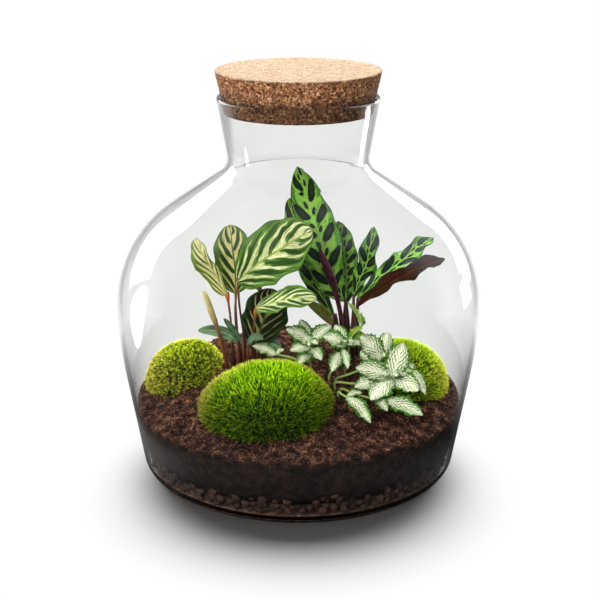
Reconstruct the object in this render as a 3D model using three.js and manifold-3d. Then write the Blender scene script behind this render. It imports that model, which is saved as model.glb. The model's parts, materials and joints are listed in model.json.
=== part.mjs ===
// Glass plant terrarium: a round-bellied glass jar with a cork, planted with moss and three house plants.
// Sizes are in millimetres, +Z is up, and the origin is the middle of the jar's base.

import * as THREE from 'three';
import { mergeVertices } from 'three/addons/utils/BufferGeometryUtils.js';
import Module from 'manifold-3d';

const wasm = await Module();
wasm.setup();

// Driving sizes of the jar
const bellyRadius = 135;
const bellyHeight = 127;
const lowerBellyArc = 320;
const upperBellyArc = 86;
const sideLean = THREE.MathUtils.degToRad(9.35);
const shoulderLean = THREE.MathUtils.degToRad(56);
const footRadius = 9.7;
const waistRadius = 51.7;
const waistArc = 14;
const neckFlare = THREE.MathUtils.degToRad(8.9);
const rimHeight = 281;
const rimBead = 1.5;
const wall = 2.6;
const floorThickness = 3;
const jarSides = 36;

// Driving sizes of the cork
const corkBottom = 270;
const corkTop = 300;
const corkBottomRadius = 53.4;
const corkTopRadius = 59.6;
const corkBevel = 1.2;

// Driving sizes of the planting
const clearance = 0.3;
const pebbleTop = 20;
const pebblesRound = 54;
const pebbleRows = [8, 15];
const pebbleDepth = 3;
const soilEdge = 53;
const soilRise = 27;
const soilBackLean = 0.5;
const rootDepth = 11;

const up = new THREE.Vector3(0, 0, 1);
const terrarium = new THREE.Group();

const finishes = {
  glass: { color: 0xeef4f2, roughness: 0.03, metalness: 0, transparent: true, opacity: 0.3 },
  cork: { color: 0xa9774a, roughness: 0.9, metalness: 0 },
  clay: { color: 0x3a2620, roughness: 0.9, metalness: 0 },
  soil: { color: 0x4a3024, roughness: 1, metalness: 0 },
  moss: { color: 0x6f9a2a, roughness: 0.9, metalness: 0 },
  oliveMoss: { color: 0x8a9a3c, roughness: 0.9, metalness: 0 },
  peacockLeaf: { color: 0x9cae5a, roughness: 0.45, metalness: 0 },
  greyLeaf: { color: 0x3f5648, roughness: 0.5, metalness: 0 },
  spearLeaf: { color: 0x8a6a2c, roughness: 0.5, metalness: 0 },
  rattlesnakeLeaf: { color: 0x4f9a32, roughness: 0.4, metalness: 0 },
  maroonLeaf: { color: 0x4a1f1c, roughness: 0.5, metalness: 0 },
  nerveLeaf: { color: 0xb9cfa8, roughness: 0.5, metalness: 0 },
};

function addPart(name, geometry, finish) {
  const part = new THREE.Mesh(geometry, new THREE.MeshStandardMaterial(finishes[finish]));
  part.name = name;
  terrarium.add(part);
  return part;
}

// A repeatable draw of numbers from 0 to 1
function randomDraw(seed) {
  let state = seed;
  return () => {
    state = (state + 0x6d2b79f5) | 0;
    let t = Math.imul(state ^ (state >>> 15), 1 | state);
    t = (t + Math.imul(t ^ (t >>> 7), 61 | t)) ^ t;
    return ((t ^ (t >>> 14)) >>> 0) / 4294967296;
  };
}

// Closed geometry to solid and back, for joining and cutting
function solidOf(geometry) {
  const bare = geometry.clone();
  bare.deleteAttribute('normal');
  bare.deleteAttribute('uv');
  const merged = mergeVertices(bare, 1e-4);
  const mesh = new wasm.Mesh({
    numProp: 3,
    vertProperties: new Float32Array(merged.attributes.position.array),
    triVerts: new Uint32Array(merged.index.array),
  });
  mesh.merge();
  return new wasm.Manifold(mesh);
}

function geometryOf(solid) {
  const mesh = solid.getMesh();
  const geometry = new THREE.BufferGeometry();
  geometry.setAttribute('position', new THREE.BufferAttribute(mesh.vertProperties, 3));
  geometry.setIndex(new THREE.BufferAttribute(mesh.triVerts, 1));
  geometry.computeVertexNormals();
  return geometry;
}

function joined(geometries) {
  const [first, ...others] = geometries.map(solidOf);
  return others.reduce((whole, piece) => whole.add(piece), first);
}

// Points along an arc of a lathe profile, angles counted up from the outward direction
function arc(centreR, centreZ, radius, from, to, steps) {
  return Array.from({ length: steps + 1 }, (_, i) => {
    const angle = THREE.MathUtils.lerp(from, to, i / steps);
    return new THREE.Vector2(centreR + radius * Math.cos(angle), centreZ + radius * Math.sin(angle));
  });
}

function turned(profile) {
  return new THREE.LatheGeometry(profile, jarSides).rotateX(Math.PI / 2);
}

// One wall of the jar from its foot to its rim, moved in from the outside by inset
function jarWall(inset, floor, foot) {
  const lowerCentre = bellyRadius - lowerBellyArc;
  const sideEnd = new THREE.Vector2(
    lowerCentre + (lowerBellyArc - inset) * Math.cos(sideLean),
    bellyHeight - (lowerBellyArc - inset) * Math.sin(sideLean),
  );
  const footZ = floor + foot;
  const footTouchR = sideEnd.x - (sideEnd.y - (footZ - foot * Math.sin(sideLean))) * Math.tan(sideLean);
  const upperCentre = bellyRadius - upperBellyArc;
  const shoulderR = upperCentre + upperBellyArc * Math.cos(shoulderLean);
  const shoulderZ = bellyHeight + upperBellyArc * Math.sin(shoulderLean);
  const waistCentre = waistRadius + waistArc;
  const slope = (shoulderR + waistArc * Math.cos(shoulderLean) - waistCentre) / Math.sin(shoulderLean);
  const waistZ = shoulderZ + slope * Math.cos(shoulderLean) + waistArc * Math.sin(shoulderLean);
  const halfTurn = Math.PI;
  return [
    ...arc(footTouchR - foot * Math.cos(sideLean), footZ, foot, -Math.PI / 2, -sideLean, 3),
    ...arc(lowerCentre, bellyHeight, lowerBellyArc - inset, -sideLean, 0, 2).slice(0, -1),
    ...arc(upperCentre, bellyHeight, upperBellyArc - inset, 0, shoulderLean, 7),
    ...arc(waistCentre, waistZ, waistArc + inset, halfTurn + shoulderLean, halfTurn - neckFlare, 3),
  ];
}

const innerWall = jarWall(wall, floorThickness, footRadius - 1);

function neckInnerRadius(z) {
  const top = innerWall[innerWall.length - 1];
  return top.x + (z - top.y) * Math.tan(neckFlare);
}

function glassJar() {
  const outer = jarWall(0, 0, footRadius);
  const lipR = neckInnerRadius(rimHeight - rimBead) + wall / 2 + 0.2;
  const rim = arc(lipR, rimHeight - rimBead, rimBead, -0.5, Math.PI, 5);
  const profile = [
    new THREE.Vector2(0, 0),
    ...outer,
    ...rim,
    ...innerWall.toReversed(),
    new THREE.Vector2(0, floorThickness),
  ];
  return turned(profile);
}

// How far out the planting reaches at a height, a clearance inside the glass
function plantingRadius(z) {
  const above = innerWall.findIndex((point) => point.y > z - clearance);
  const [a, b] = innerWall.slice(Math.max(0, above - 1), Math.max(0, above - 1) + 2);
  return THREE.MathUtils.mapLinear(z - clearance, a.y, b.y, a.x, b.x) - clearance;
}

function cork() {
  return turned([
    new THREE.Vector2(0, corkBottom),
    new THREE.Vector2(corkBottomRadius - corkBevel, corkBottom),
    new THREE.Vector2(corkBottomRadius, corkBottom + corkBevel),
    new THREE.Vector2(corkTopRadius, corkTop - corkBevel),
    new THREE.Vector2(corkTopRadius - corkBevel, corkTop),
    new THREE.Vector2(0, corkTop),
  ]);
}

// A closed body from a top point, rings of points downwards and a bottom point
function ringSolid(positions, sectors) {
  const rings = (positions.length / 3 - 2) / sectors;
  const base = positions.length / 3 - 1;
  const at = (ring, sector) => 1 + ring * sectors + (sector % sectors);
  const faces = [];
  for (let sector = 0; sector < sectors; sector++) {
    faces.push(0, at(0, sector), at(0, sector + 1));
    faces.push(base, at(rings - 1, sector + 1), at(rings - 1, sector));
    for (let ring = 0; ring < rings - 1; ring++) {
      faces.push(at(ring, sector), at(ring + 1, sector), at(ring + 1, sector + 1));
      faces.push(at(ring, sector), at(ring + 1, sector + 1), at(ring, sector + 1));
    }
  }
  const geometry = new THREE.BufferGeometry();
  geometry.setAttribute('position', new THREE.Float32BufferAttribute(positions, 3));
  geometry.setIndex(faces);
  return geometry;
}

// Clay pebbles: rows of rounded knobs that meet the glass, raised by formula on the bed behind them
function clayPebbles() {
  const draw = randomDraw(11);
  const columns = 2 * pebblesRound;
  const facet = (2 * Math.PI) / jarSides;
  const low = floorThickness + clearance;
  const [lower, upper] = pebbleRows;
  const between = (lower + upper) / 2;
  const levels = [low, (low + lower) / 2, lower, between, upper, (upper + pebbleTop) / 2, pebbleTop];
  const positions = [0, 0, pebbleTop];
  for (const z of levels.toReversed()) {
    const row = pebbleRows.indexOf(z);
    for (let column = 0; column < columns; column++) {
      const angle = (column / columns) * 2 * Math.PI;
      const flat = Math.cos(facet / 2) / Math.cos((angle % facet) - facet / 2);
      const knob = row >= 0 && (column + row) % 2 === 0;
      const depth = knob ? 0.4 * draw() : pebbleDepth * (0.7 + 0.3 * draw());
      const radius = (plantingRadius(z) - depth) * flat;
      positions.push(radius * Math.sin(angle), -radius * Math.cos(angle), z);
    }
  }
  positions.push(0, 0, low);
  return ringSolid(positions, columns);
}

// Height of the soil: level at the glass, mounded towards the middle and the back
function moundHeight(x, y) {
  const reach = innerWall.find((point) => point.y > soilEdge).x;
  const out = (x * x + y * y) / (reach * reach);
  return soilEdge + soilRise * Math.max(0, 1 - out) * (1 + (soilBackLean * y) / reach);
}

// Clods: broad lumps all over and one high lump at the back
function clods(x, y) {
  const broad = Math.sin(x * 0.23 + 1.3) * Math.sin(y * 0.19 + 0.4);
  const slanting = Math.sin(x * 0.16 + y * 0.15 + 0.5);
  const backLump = 7 * Math.exp(-((x + 9) ** 2 + (y - 44) ** 2) / 260);
  return 1.3 * broad + 0.7 * slanting + backLump;
}

function soilHeight(x, y) {
  const edgeFade = THREE.MathUtils.smoothstep(125 - Math.hypot(x, y), 0, 12);
  return moundHeight(x, y) + edgeFade * clods(x, y);
}

// Moss cushions: a dome for each, seated square to the slope of the mound
const cushions = [
  { name: 'moss_cushion_front', at: [-23, -62], reach: [50, 44], height: 30, tufts: 13, seed: 21, finish: 'moss' },
  { name: 'moss_cushion_left', at: [-88, 3], reach: [33, 35], height: 27, tufts: 9, seed: 22, finish: 'oliveMoss' },
  { name: 'moss_cushion_right', at: [82, -5], reach: [35, 38], height: 28, tufts: 10, seed: 23, finish: 'moss' },
];
const mossSink = 4;
const mossRings = 7;
const mossSectors = 30;

function seatOf({ at: [x, y] }) {
  const step = 12;
  const slopeX = (moundHeight(x + step, y) - moundHeight(x - step, y)) / (2 * step);
  const slopeY = (moundHeight(x, y + step) - moundHeight(x, y - step)) / (2 * step);
  const normal = new THREE.Vector3(-slopeX, -slopeY, 1).normalize();
  const turn = new THREE.Quaternion().setFromUnitVectors(up, normal);
  const place = new THREE.Vector3(x, y, moundHeight(x, y)).addScaledVector(normal, -mossSink);
  return new THREE.Matrix4().compose(place, turn, new THREE.Vector3(1, 1, 1));
}

function mossCushion(cushion) {
  const { reach, height, tufts, seed } = cushion;
  const draw = randomDraw(seed);
  const positions = [0, 0, height];
  for (let ring = 1; ring <= mossRings; ring++) {
    const out = Math.sin(((ring / mossRings) * Math.PI) / 2);
    for (let sector = 0; sector < mossSectors; sector++) {
      const angle = (sector / mossSectors) * 2 * Math.PI;
      const swell = 1 - 0.02 * (1 + Math.sin(angle * 3 + seed));
      const tuft = 1.2 * Math.sin(out * tufts + sector * 2.4) * out + 1.6 * (draw() - 0.5);
      const last = ring === mossRings;
      const lift = height * (1 - out ** 2.4) ** 0.55 + (last ? 0 : tuft);
      positions.push(reach[0] * out * swell * Math.cos(angle), reach[1] * out * swell * Math.sin(angle), lift);
    }
  }
  positions.push(0, 0, 0);
  return ringSolid(positions, mossSectors).applyMatrix4(seatOf(cushion));
}

function mossPit(cushion) {
  const pit = new THREE.CylinderGeometry(1, 1, 60, mossSectors)
    .rotateX(Math.PI / 2)
    .scale(cushion.reach[0] + 0.5, cushion.reach[1] + 0.5, 1)
    .translate(0, 0, 30 - clearance);
  return pit.applyMatrix4(seatOf(cushion));
}

// Potting soil: its side follows the glass, its top the mound, with pits for moss and holes for stems
function pottingSoil(roots) {
  const low = pebbleTop + clearance;
  const rings = 9;
  const positions = [0, 0, soilHeight(0, 0)];
  const ringOf = (radius, heightAt) => {
    for (let sector = 0; sector < jarSides; sector++) {
      const angle = (sector / jarSides) * 2 * Math.PI;
      const [x, y] = [radius * Math.sin(angle), -radius * Math.cos(angle)];
      positions.push(x, y, heightAt(x, y));
    }
  };
  for (let ring = 1; ring <= rings; ring++) {
    ringOf((plantingRadius(soilEdge) * ring) / rings, ring < rings ? soilHeight : () => soilEdge);
  }
  ringOf(plantingRadius(low), () => low);
  positions.push(0, 0, low);
  let soil = solidOf(ringSolid(positions, jarSides));
  for (const cushion of cushions) {
    soil = soil.subtract(solidOf(mossPit(cushion)));
  }
  for (const { at: [x, y], radius } of roots) {
    const hole = new THREE.CylinderGeometry(radius + 0.6, radius + 0.6, 80, 8)
      .rotateX(Math.PI / 2)
      .translate(x, y, moundHeight(x, y) - rootDepth - clearance + 40);
    soil = soil.subtract(solidOf(hole));
  }
  return geometryOf(soil);
}

// A round stem along a path
function stem(path, radius, sides = 5) {
  const section = new THREE.Shape(
    Array.from({ length: sides }, (_, i) => {
      const angle = (i / sides) * 2 * Math.PI;
      return new THREE.Vector2(radius * Math.cos(angle), radius * Math.sin(angle));
    }),
  );
  const curve = new THREE.CatmullRomCurve3(path.map((point) => new THREE.Vector3(...point)));
  const steps = path.length + 1;
  return new THREE.ExtrudeGeometry(section, { steps, extrudePath: curve, bevelEnabled: false });
}

// Outlines of the leaves: half width along the midrib, as powers from the base and from the tip
const outlines = {
  broad: { base: 0.55, tip: 0.55 },
  lance: { base: 0.7, tip: 0.6 },
  nerve: { base: 0.7, tip: 0.9 },
};

// A thin leaf blade: spine is the midrib, face the way its upper side looks, cup lifts the margins,
// wave is [height, count along the margin], and tooth is how far the margin is notched
function blade({ spine, face, half, outline = 'lance', cup = 0.15, wave = [0, 0], tooth = 0, rows = 8, columns = 4 }) {
  const thickness = 0.8;
  const curve = new THREE.CatmullRomCurve3(spine.map((point) => new THREE.Vector3(...point)));
  const facing = new THREE.Vector3(...face).normalize();
  const { base, tip } = outlines[outline];
  const widest = base / (base + tip);
  const positions = [];
  for (let row = 0; row <= rows; row++) {
    const t = row / rows;
    const middle = curve.getPoint(t);
    const side = curve.getTangent(t).cross(facing).normalize();
    const normal = side.clone().cross(curve.getTangent(t)).normalize();
    const spread = (t / widest) ** base * ((1 - t) / (1 - widest)) ** tip;
    const notch = row > 0 && row < rows ? 1 + tooth * (row % 2 ? 1 : -1) : 1;
    const width = Math.max(0.7, half * spread * notch);
    for (const level of [-0.5, 0.5]) {
      for (let column = 0; column <= columns; column++) {
        const s = (2 * column) / columns - 1;
        const ripple = wave[0] * spread * s * s * Math.sin(2 * Math.PI * wave[1] * t + (s < 0 ? 0.9 : 0));
        const lift = cup * width * s * s + ripple + level * thickness;
        const point = middle.clone().addScaledVector(side, s * width).addScaledVector(normal, lift);
        positions.push(...point.toArray());
      }
    }
  }
  const faces = [];
  const at = (row, level, column) => (row * 2 + level) * (columns + 1) + column;
  const quad = (a, b, c, d) => faces.push(a, b, c, a, c, d);
  for (let row = 0; row < rows; row++) {
    for (let column = 0; column < columns; column++) {
      quad(at(row, 1, column), at(row, 1, column + 1), at(row + 1, 1, column + 1), at(row + 1, 1, column));
      faces.push(at(row, 0, column), at(row + 1, 0, column + 1), at(row, 0, column + 1));
      faces.push(at(row, 0, column), at(row + 1, 0, column), at(row + 1, 0, column + 1));
    }
    quad(at(row, 0, columns), at(row + 1, 0, columns), at(row + 1, 1, columns), at(row, 1, columns));
    quad(at(row, 1, 0), at(row + 1, 1, 0), at(row + 1, 0, 0), at(row, 0, 0));
  }
  for (let column = 0; column < columns; column++) {
    quad(at(0, 0, column), at(0, 0, column + 1), at(0, 1, column + 1), at(0, 1, column));
    quad(at(rows, 1, column), at(rows, 1, column + 1), at(rows, 0, column + 1), at(rows, 0, column));
  }
  const geometry = new THREE.BufferGeometry();
  geometry.setAttribute('position', new THREE.Float32BufferAttribute(positions, 3));
  geometry.setIndex(faces);
  return geometry;
}

// A plant's leaves. root is where the stem enters the soil, stalk its points above the soil,
// sheath the height and radius of the thicker foot of the stem
const peacockFace = [-0.25, -0.85, 0.45];
const peacockPlant = [
  {
    name: 'peacock_plant_leaf_large', root: [-43, -12], stalk: [[-46, -12, 100], [-47, -12, 125], [-44, -14, 149]],
    blade: {
      spine: [[-45, -14, 146], [-27, -22, 164], [-7, -30, 179], [10, -36, 191]],
      face: peacockFace, half: 21, outline: 'broad', cup: 0.12, wave: [1.5, 2.5],
    },
  },
  {
    name: 'peacock_plant_leaf_upright', root: [-44, -4], stalk: [[-46, -4, 100], [-47, -5, 120], [-47, -6, 137]],
    blade: {
      spine: [[-47, -6, 134], [-47, -3, 151], [-49, 0, 168], [-51, 4, 184]],
      face: [0, -1, 0.1], half: 14.5, outline: 'broad', cup: 0.2, wave: [1.2, 2],
    },
  },
  {
    name: 'peacock_plant_leaf_folded', root: [-49, -10], stalk: [[-50, -10, 100], [-51, -11, 118], [-53, -12, 137]],
    blade: {
      spine: [[-53, -12, 134], [-62, -16, 154], [-69, -19, 168], [-74, -20, 181]],
      face: [-0.5, -0.8, 0.1], half: 9, outline: 'broad', cup: 0.5, wave: [1.5, 2],
    },
  },
  {
    name: 'peacock_plant_leaf_back', root: [-39, 1], stalk: [[-42, 3, 100], [-45, 4, 125], [-45, 4, 141]],
    blade: {
      spine: [[-45, 4, 140], [-41, 9, 140], [-35, 15, 135], [-30, 20, 127]],
      face: [0.35, 0.1, 1], half: 10, outline: 'broad', cup: 0.15, wave: [0.8, 2],
    },
  },
  {
    name: 'peacock_plant_leaf_round', root: [-34, -4], stalk: [[-34, -5, 88], [-32, -7, 97]],
    blade: {
      spine: [[-33, -6, 93], [-27, -9, 111], [-23, -9, 125], [-19, -6, 138]],
      face: [0.1, -1, 0.1], half: 17, outline: 'broad', cup: 0.12, wave: [1, 2],
    },
  },
  {
    name: 'peacock_plant_leaf_forward', root: [-34, -14], stalk: [[-34, -15, 97], [-33, -17, 112], [-31, -22, 128]],
    blade: {
      spine: [[-32, -21, 127], [-17, -30, 135], [-3, -38, 141], [13, -46, 143]],
      face: [-0.2, -0.45, 0.85], half: 12, outline: 'broad', cup: 0.12, wave: [1.2, 2],
    },
  },
];

const peacockShoots = [
  {
    name: 'peacock_plant_young_leaf_left', root: [-45, -18], stalk: [[-45, -18, 92], [-46, -17, 100]],
    blade: {
      spine: [[-45, -17, 99], [-52, -15, 104], [-63, -14, 107], [-75, -16, 108]],
      face: [0, -0.6, 0.8], half: 5, cup: 0.2, rows: 7, columns: 2,
    },
  },
  {
    name: 'peacock_plant_young_leaf_slim', root: [-41, -17], stalk: [[-41, -18, 92], [-42, -18, 101]],
    blade: {
      spine: [[-42, -18, 99], [-48, -22, 110], [-55, -25, 121]],
      face: [0.3, -0.8, 0.5], half: 2.6, cup: 0.3, rows: 6, columns: 2,
    },
  },
  {
    name: 'peacock_plant_young_leaf_right', root: [-38, -18], stalk: [[-38, -18, 90], [-38, -18, 99]],
    blade: {
      spine: [[-38, -18, 97], [-33, -21, 104], [-26, -26, 105]],
      face: [0, -0.6, 0.8], half: 3.6, cup: 0.2, rows: 6, columns: 2,
    },
  },
  {
    name: 'peacock_plant_young_leaf_low', root: [-27, -3], stalk: [[-27, -4, 88], [-26, -5, 93]],
    blade: {
      spine: [[-27, -5, 91], [-20, -7, 94], [-13, -9, 91]],
      face: [0, -0.6, 0.8], half: 4, cup: 0.2, rows: 6, columns: 2,
    },
  },
];

const rattlesnakePlant = [
  {
    name: 'rattlesnake_plant_leaf_large', root: [37, 15], stalk: [[36, 15, 96], [36, 14, 124]],
    blade: {
      spine: [[36, 14, 121], [24, 14, 139], [17, 17, 168], [9, 21, 190], [-1, 27, 224]],
      face: [0.05, -1, 0.2], half: 15.5, cup: 0.12, wave: [1.5, 3.5], rows: 12,
    },
  },
  {
    name: 'rattlesnake_plant_leaf_back_right', root: [38, 21], stalk: [[38, 22, 96], [37, 24, 118]],
    blade: {
      spine: [[37, 24, 115], [37, 28, 138], [35, 32, 157], [30, 36, 178]],
      face: [0, -1, 0.2], half: 10, cup: 0.15, wave: [1.2, 3],
    },
  },
  {
    name: 'rattlesnake_plant_leaf_back_left', root: [32, 20], stalk: [[30, 21, 94], [28, 22, 108]],
    blade: {
      spine: [[28, 22, 105], [14, 29, 129], [4, 35, 152], [-3, 39, 175], [-7, 41, 195]],
      face: [-0.2, -1, 0.1], half: 9, cup: 0.15, wave: [2, 4], rows: 10,
    },
  },
  {
    name: 'rattlesnake_plant_leaf_upright', root: [41, 10], stalk: [[42, 9, 96], [42, 8, 129]],
    blade: {
      spine: [[42, 8, 126], [46, 6, 141], [51, 4, 154], [53, 2, 167], [56, 2, 183]],
      face: [-0.2, -1, 0.2], half: 6.5, cup: 0.1, wave: [2.2, 2.5],
    },
  },
  {
    name: 'rattlesnake_plant_leaf_right', root: [44, 21], stalk: [[45, 22, 96], [46, 22, 121]],
    blade: {
      spine: [[45, 22, 119], [62, 30, 134], [79, 38, 145], [93, 44, 155], [106, 46, 163]],
      face: [-0.35, -0.6, 0.75], half: 9, cup: 0.1, wave: [2, 3], rows: 10,
    },
  },
  {
    name: 'rattlesnake_plant_leaf_turned', root: [44, 15], stalk: [[45, 14, 96], [45, 12, 120]],
    blade: {
      spine: [[45, 12, 117], [62, 4, 135], [80, -3, 148], [96, -8, 158], [108, -10, 162]],
      face: [-0.3, 0.9, 0.5], half: 9, cup: 0.12, wave: [1.6, 3.5], rows: 10,
    },
  },
  {
    name: 'rattlesnake_plant_leaf_small', root: [30, 8], stalk: [[28, 5, 94], [26, 2, 107]],
    blade: {
      spine: [[27, 3, 105], [18, -4, 117], [5, -10, 130]],
      face: [0.3, -0.7, 0.6], half: 4.5, cup: 0.4, rows: 7, columns: 2,
    },
  },
];

// Leaves that are still rolled: a spindle along the leaf
const rolledLeaves = [
  {
    name: 'peacock_plant_rolled_leaf', root: [-53, -19], radius: 1.3, thick: 2.2, finish: 'spearLeaf',
    stalk: [[-54, -19, 84], [-56, -20, 94], [-60, -22, 112], [-64, -24, 126], [-69, -26, 142]],
  },
  {
    name: 'rattlesnake_plant_rolled_leaf', root: [35, 9], radius: 1.8, thick: 3.6, finish: 'maroonLeaf',
    stalk: [[34, 8, 96], [32, 6, 114], [28, 3, 132], [22, 2, 150], [15, 3, 168]],
  },
];

// Nerve plant: each leafy stem has small notched leaves, given by their base, tip and half width
const nerveFace = [0, -0.75, 0.65];
const nervePlant = [
  {
    name: 'nerve_plant_spray', root: [35, -21], stalk: [[37, -21, 88], [38, -20, 102]],
    leaves: [
      { from: [38, -20, 101], over: [47, -22, 116], to: [36, -26, 134], half: 5.5, face: [0.9, -0.3, 0.2] },
      { from: [38, -20, 99], to: [50, -24, 106], half: 4 },
    ],
  },
  {
    name: 'nerve_plant_stem_left', root: [9, -24], stalk: [[9, -23, 90], [9, -21, 103]],
    leaves: [
      { from: [9, -21, 101], to: [-9, -24, 112], half: 6 },
      { from: [9, -21, 101], to: [24, -20, 113], half: 5.5 },
      { from: [9, -22, 97], to: [-6, -32, 98], half: 5.5 },
      { from: [9, -22, 96], to: [17, -38, 93], half: 5 },
      { from: [9, -21, 102], to: [1, -14, 116], half: 4 },
      { from: [9, -23, 92], to: [0, -38, 90], half: 4.5 },
    ],
  },
  {
    name: 'nerve_plant_stem_middle', root: [23, -30], stalk: [[26, -29, 84], [31, -28, 94], [35, -28, 102]],
    leaves: [
      { from: [35, -28, 101], to: [18, -34, 110], half: 6.5 },
      { from: [31, -28, 95], to: [24, -48, 88], half: 5 },
      { from: [33, -28, 98], to: [36, -47, 90], half: 3.5 },
      { from: [35, -28, 101], to: [50, -33, 104], half: 3 },
      { from: [35, -27, 101], to: [27, -20, 114], half: 5 },
    ],
  },
  {
    name: 'nerve_plant_stem_back', root: [28, -34], stalk: [[38, -37, 82], [52, -39, 89], [62, -39, 95]],
    leaves: [
      { from: [61, -39, 94], to: [45, -39, 112], half: 8 },
      { from: [61, -38, 95], to: [66, -28, 111], half: 6 },
      { from: [54, -38, 90], to: [46, -30, 97], half: 5 },
    ],
  },
  {
    name: 'nerve_plant_stem_front', root: [27, -39], stalk: [[40, -46, 78], [56, -50, 80], [68, -51, 86]],
    leaves: [
      { from: [68, -51, 85], to: [76, -45, 109], half: 8.5, face: [0, -0.95, 0.3] },
      { from: [67, -51, 85], to: [41, -60, 96], half: 7.5 },
      { from: [66, -51, 84], to: [40, -67, 84], half: 7 },
      { from: [68, -51, 84], to: [51, -74, 77], half: 8, face: [0, -0.6, 0.8] },
      { from: [69, -51, 84], to: [86, -62, 79], half: 8, face: [0.2, -0.7, 0.7] },
      { from: [69, -51, 85], to: [84, -43, 92], half: 6 },
      { from: [70, -50, 85], over: [84, -49, 85], to: [92, -56, 74], half: 5 },
    ],
  },
  {
    name: 'nerve_plant_stem_outer', root: [31, -46], stalk: [[42, -57, 74], [54, -64, 74], [64, -67, 74]],
    leaves: [
      { from: [62, -66, 74], to: [88, -75, 66], half: 7, face: [0, -0.5, 0.85] },
      { from: [55, -64, 74], to: [63, -77, 70], half: 4 },
    ],
  },
  {
    name: 'nerve_plant_stem_drooping', root: [29, -50], stalk: [[31, -56, 74], [35, -62, 74]],
    leaves: [{ from: [35, -61, 74], over: [43, -73, 72], to: [51, -82, 63], half: 5.5, face: [0, -0.5, 0.85] }],
  },
  {
    name: 'nerve_plant_runner', root: [5, -19], stalk: [[-2, -19, 86], [-12, -19, 89], [-20, -20, 91]],
    leaves: [{ from: [-17, -20, 90], to: [-34, -22, 98], half: 5, face: [0, -0.6, 0.8] }],
  },
];

// Every stem stands straight in its hole, then leans to its leaf
function fullPath({ root: [x, y], stalk }) {
  const ground = moundHeight(x, y);
  return [[x, y, ground - rootDepth], [x, y, ground - 2], [x, y, ground + 3], ...stalk];
}

const petioleRadius = 1;
const sheathRadius = 1.7;
const nerveStemRadius = 0.9;

function sheath({ root: [x, y] }, radius) {
  const ground = moundHeight(x, y);
  return new THREE.CylinderGeometry(radius * 0.7, radius, rootDepth + 12, 5)
    .rotateX(Math.PI / 2)
    .translate(x, y, ground + 6 - clearance - rootDepth / 2);
}

function addLeaf(leaf, finish, foot) {
  const pieces = [stem(fullPath(leaf), petioleRadius), sheath(leaf, foot), blade(leaf.blade)];
  addPart(leaf.name, geometryOf(joined(pieces)), finish);
}

function addRolledLeaf(leaf) {
  const { radius, thick, stalk, finish } = leaf;
  const tip = stalk.slice(-3);
  const spindle = stem(tip, 1, 8);
  const curve = new THREE.CatmullRomCurve3(tip.map((point) => new THREE.Vector3(...point)));
  const position = spindle.attributes.position;
  const steps = tip.length + 2;
  const point = new THREE.Vector3();
  const rings = Array.from({ length: steps + 1 }, (_, i) => curve.getPointAt(i / steps));
  for (let i = 0; i < position.count; i++) {
    point.fromBufferAttribute(position, i);
    const ring = rings.reduce((best, p, k) => (p.distanceTo(point) < rings[best].distanceTo(point) ? k : best), 0);
    const t = ring / steps;
    const swell = Math.max(0.6, thick * Math.min(1, 0.5 + 1.6 * t) * (1 - t ** 4));
    point.sub(rings[ring]).multiplyScalar(swell).add(rings[ring]);
    position.setXYZ(i, point.x, point.y, point.z);
  }
  const foot = stem(fullPath({ ...leaf, stalk: stalk.slice(0, -1) }), radius);
  addPart(leaf.name, geometryOf(joined([foot, spindle])), finish);
}

function addNerveStem(leafyStem) {
  const pieces = [stem(fullPath(leafyStem), nerveStemRadius)];
  for (const { from, over, to, half, face = nerveFace } of leafyStem.leaves) {
    const middle = over ?? from.map((value, axis) => (value + to[axis]) / 2 + (axis === 2 ? 1.5 : 0));
    const spine = [from, middle, to];
    pieces.push(blade({ spine, face, half, outline: 'nerve', cup: 0.15, tooth: 0.1, rows: 5, columns: 2 }));
  }
  addPart(leafyStem.name, geometryOf(joined(pieces)), 'nerveLeaf');
}

const roots = [
  ...[...peacockPlant, ...rattlesnakePlant].map(({ root }) => ({ at: root, radius: sheathRadius })),
  ...peacockShoots.map(({ root }) => ({ at: root, radius: sheathRadius * 0.8 })),
  ...rolledLeaves.map(({ root, radius }) => ({ at: root, radius })),
  ...nervePlant.map(({ root }) => ({ at: root, radius: nerveStemRadius })),
];

addPart('glass_jar', glassJar(), 'glass');
addPart('cork_stopper', cork(), 'cork');
addPart('clay_pebble_layer', clayPebbles(), 'clay');
addPart('potting_soil', pottingSoil(roots), 'soil');
for (const cushion of cushions) {
  addPart(cushion.name, mossCushion(cushion), cushion.finish);
}
for (const leaf of peacockPlant) {
  addLeaf(leaf, 'peacockLeaf', sheathRadius);
}
for (const leaf of peacockShoots) {
  addLeaf(leaf, 'greyLeaf', sheathRadius * 0.8);
}
for (const leaf of rattlesnakePlant) {
  addLeaf(leaf, leaf.name.endsWith('turned') ? 'maroonLeaf' : 'rattlesnakeLeaf', sheathRadius);
}
for (const leaf of rolledLeaves) {
  addRolledLeaf(leaf);
}
for (const leafyStem of nervePlant) {
  addNerveStem(leafyStem);
}

export default terrarium;
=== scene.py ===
import json
import math
from functools import partial

import bpy
import numpy as np
from mathutils import Matrix, Vector, noise

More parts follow.
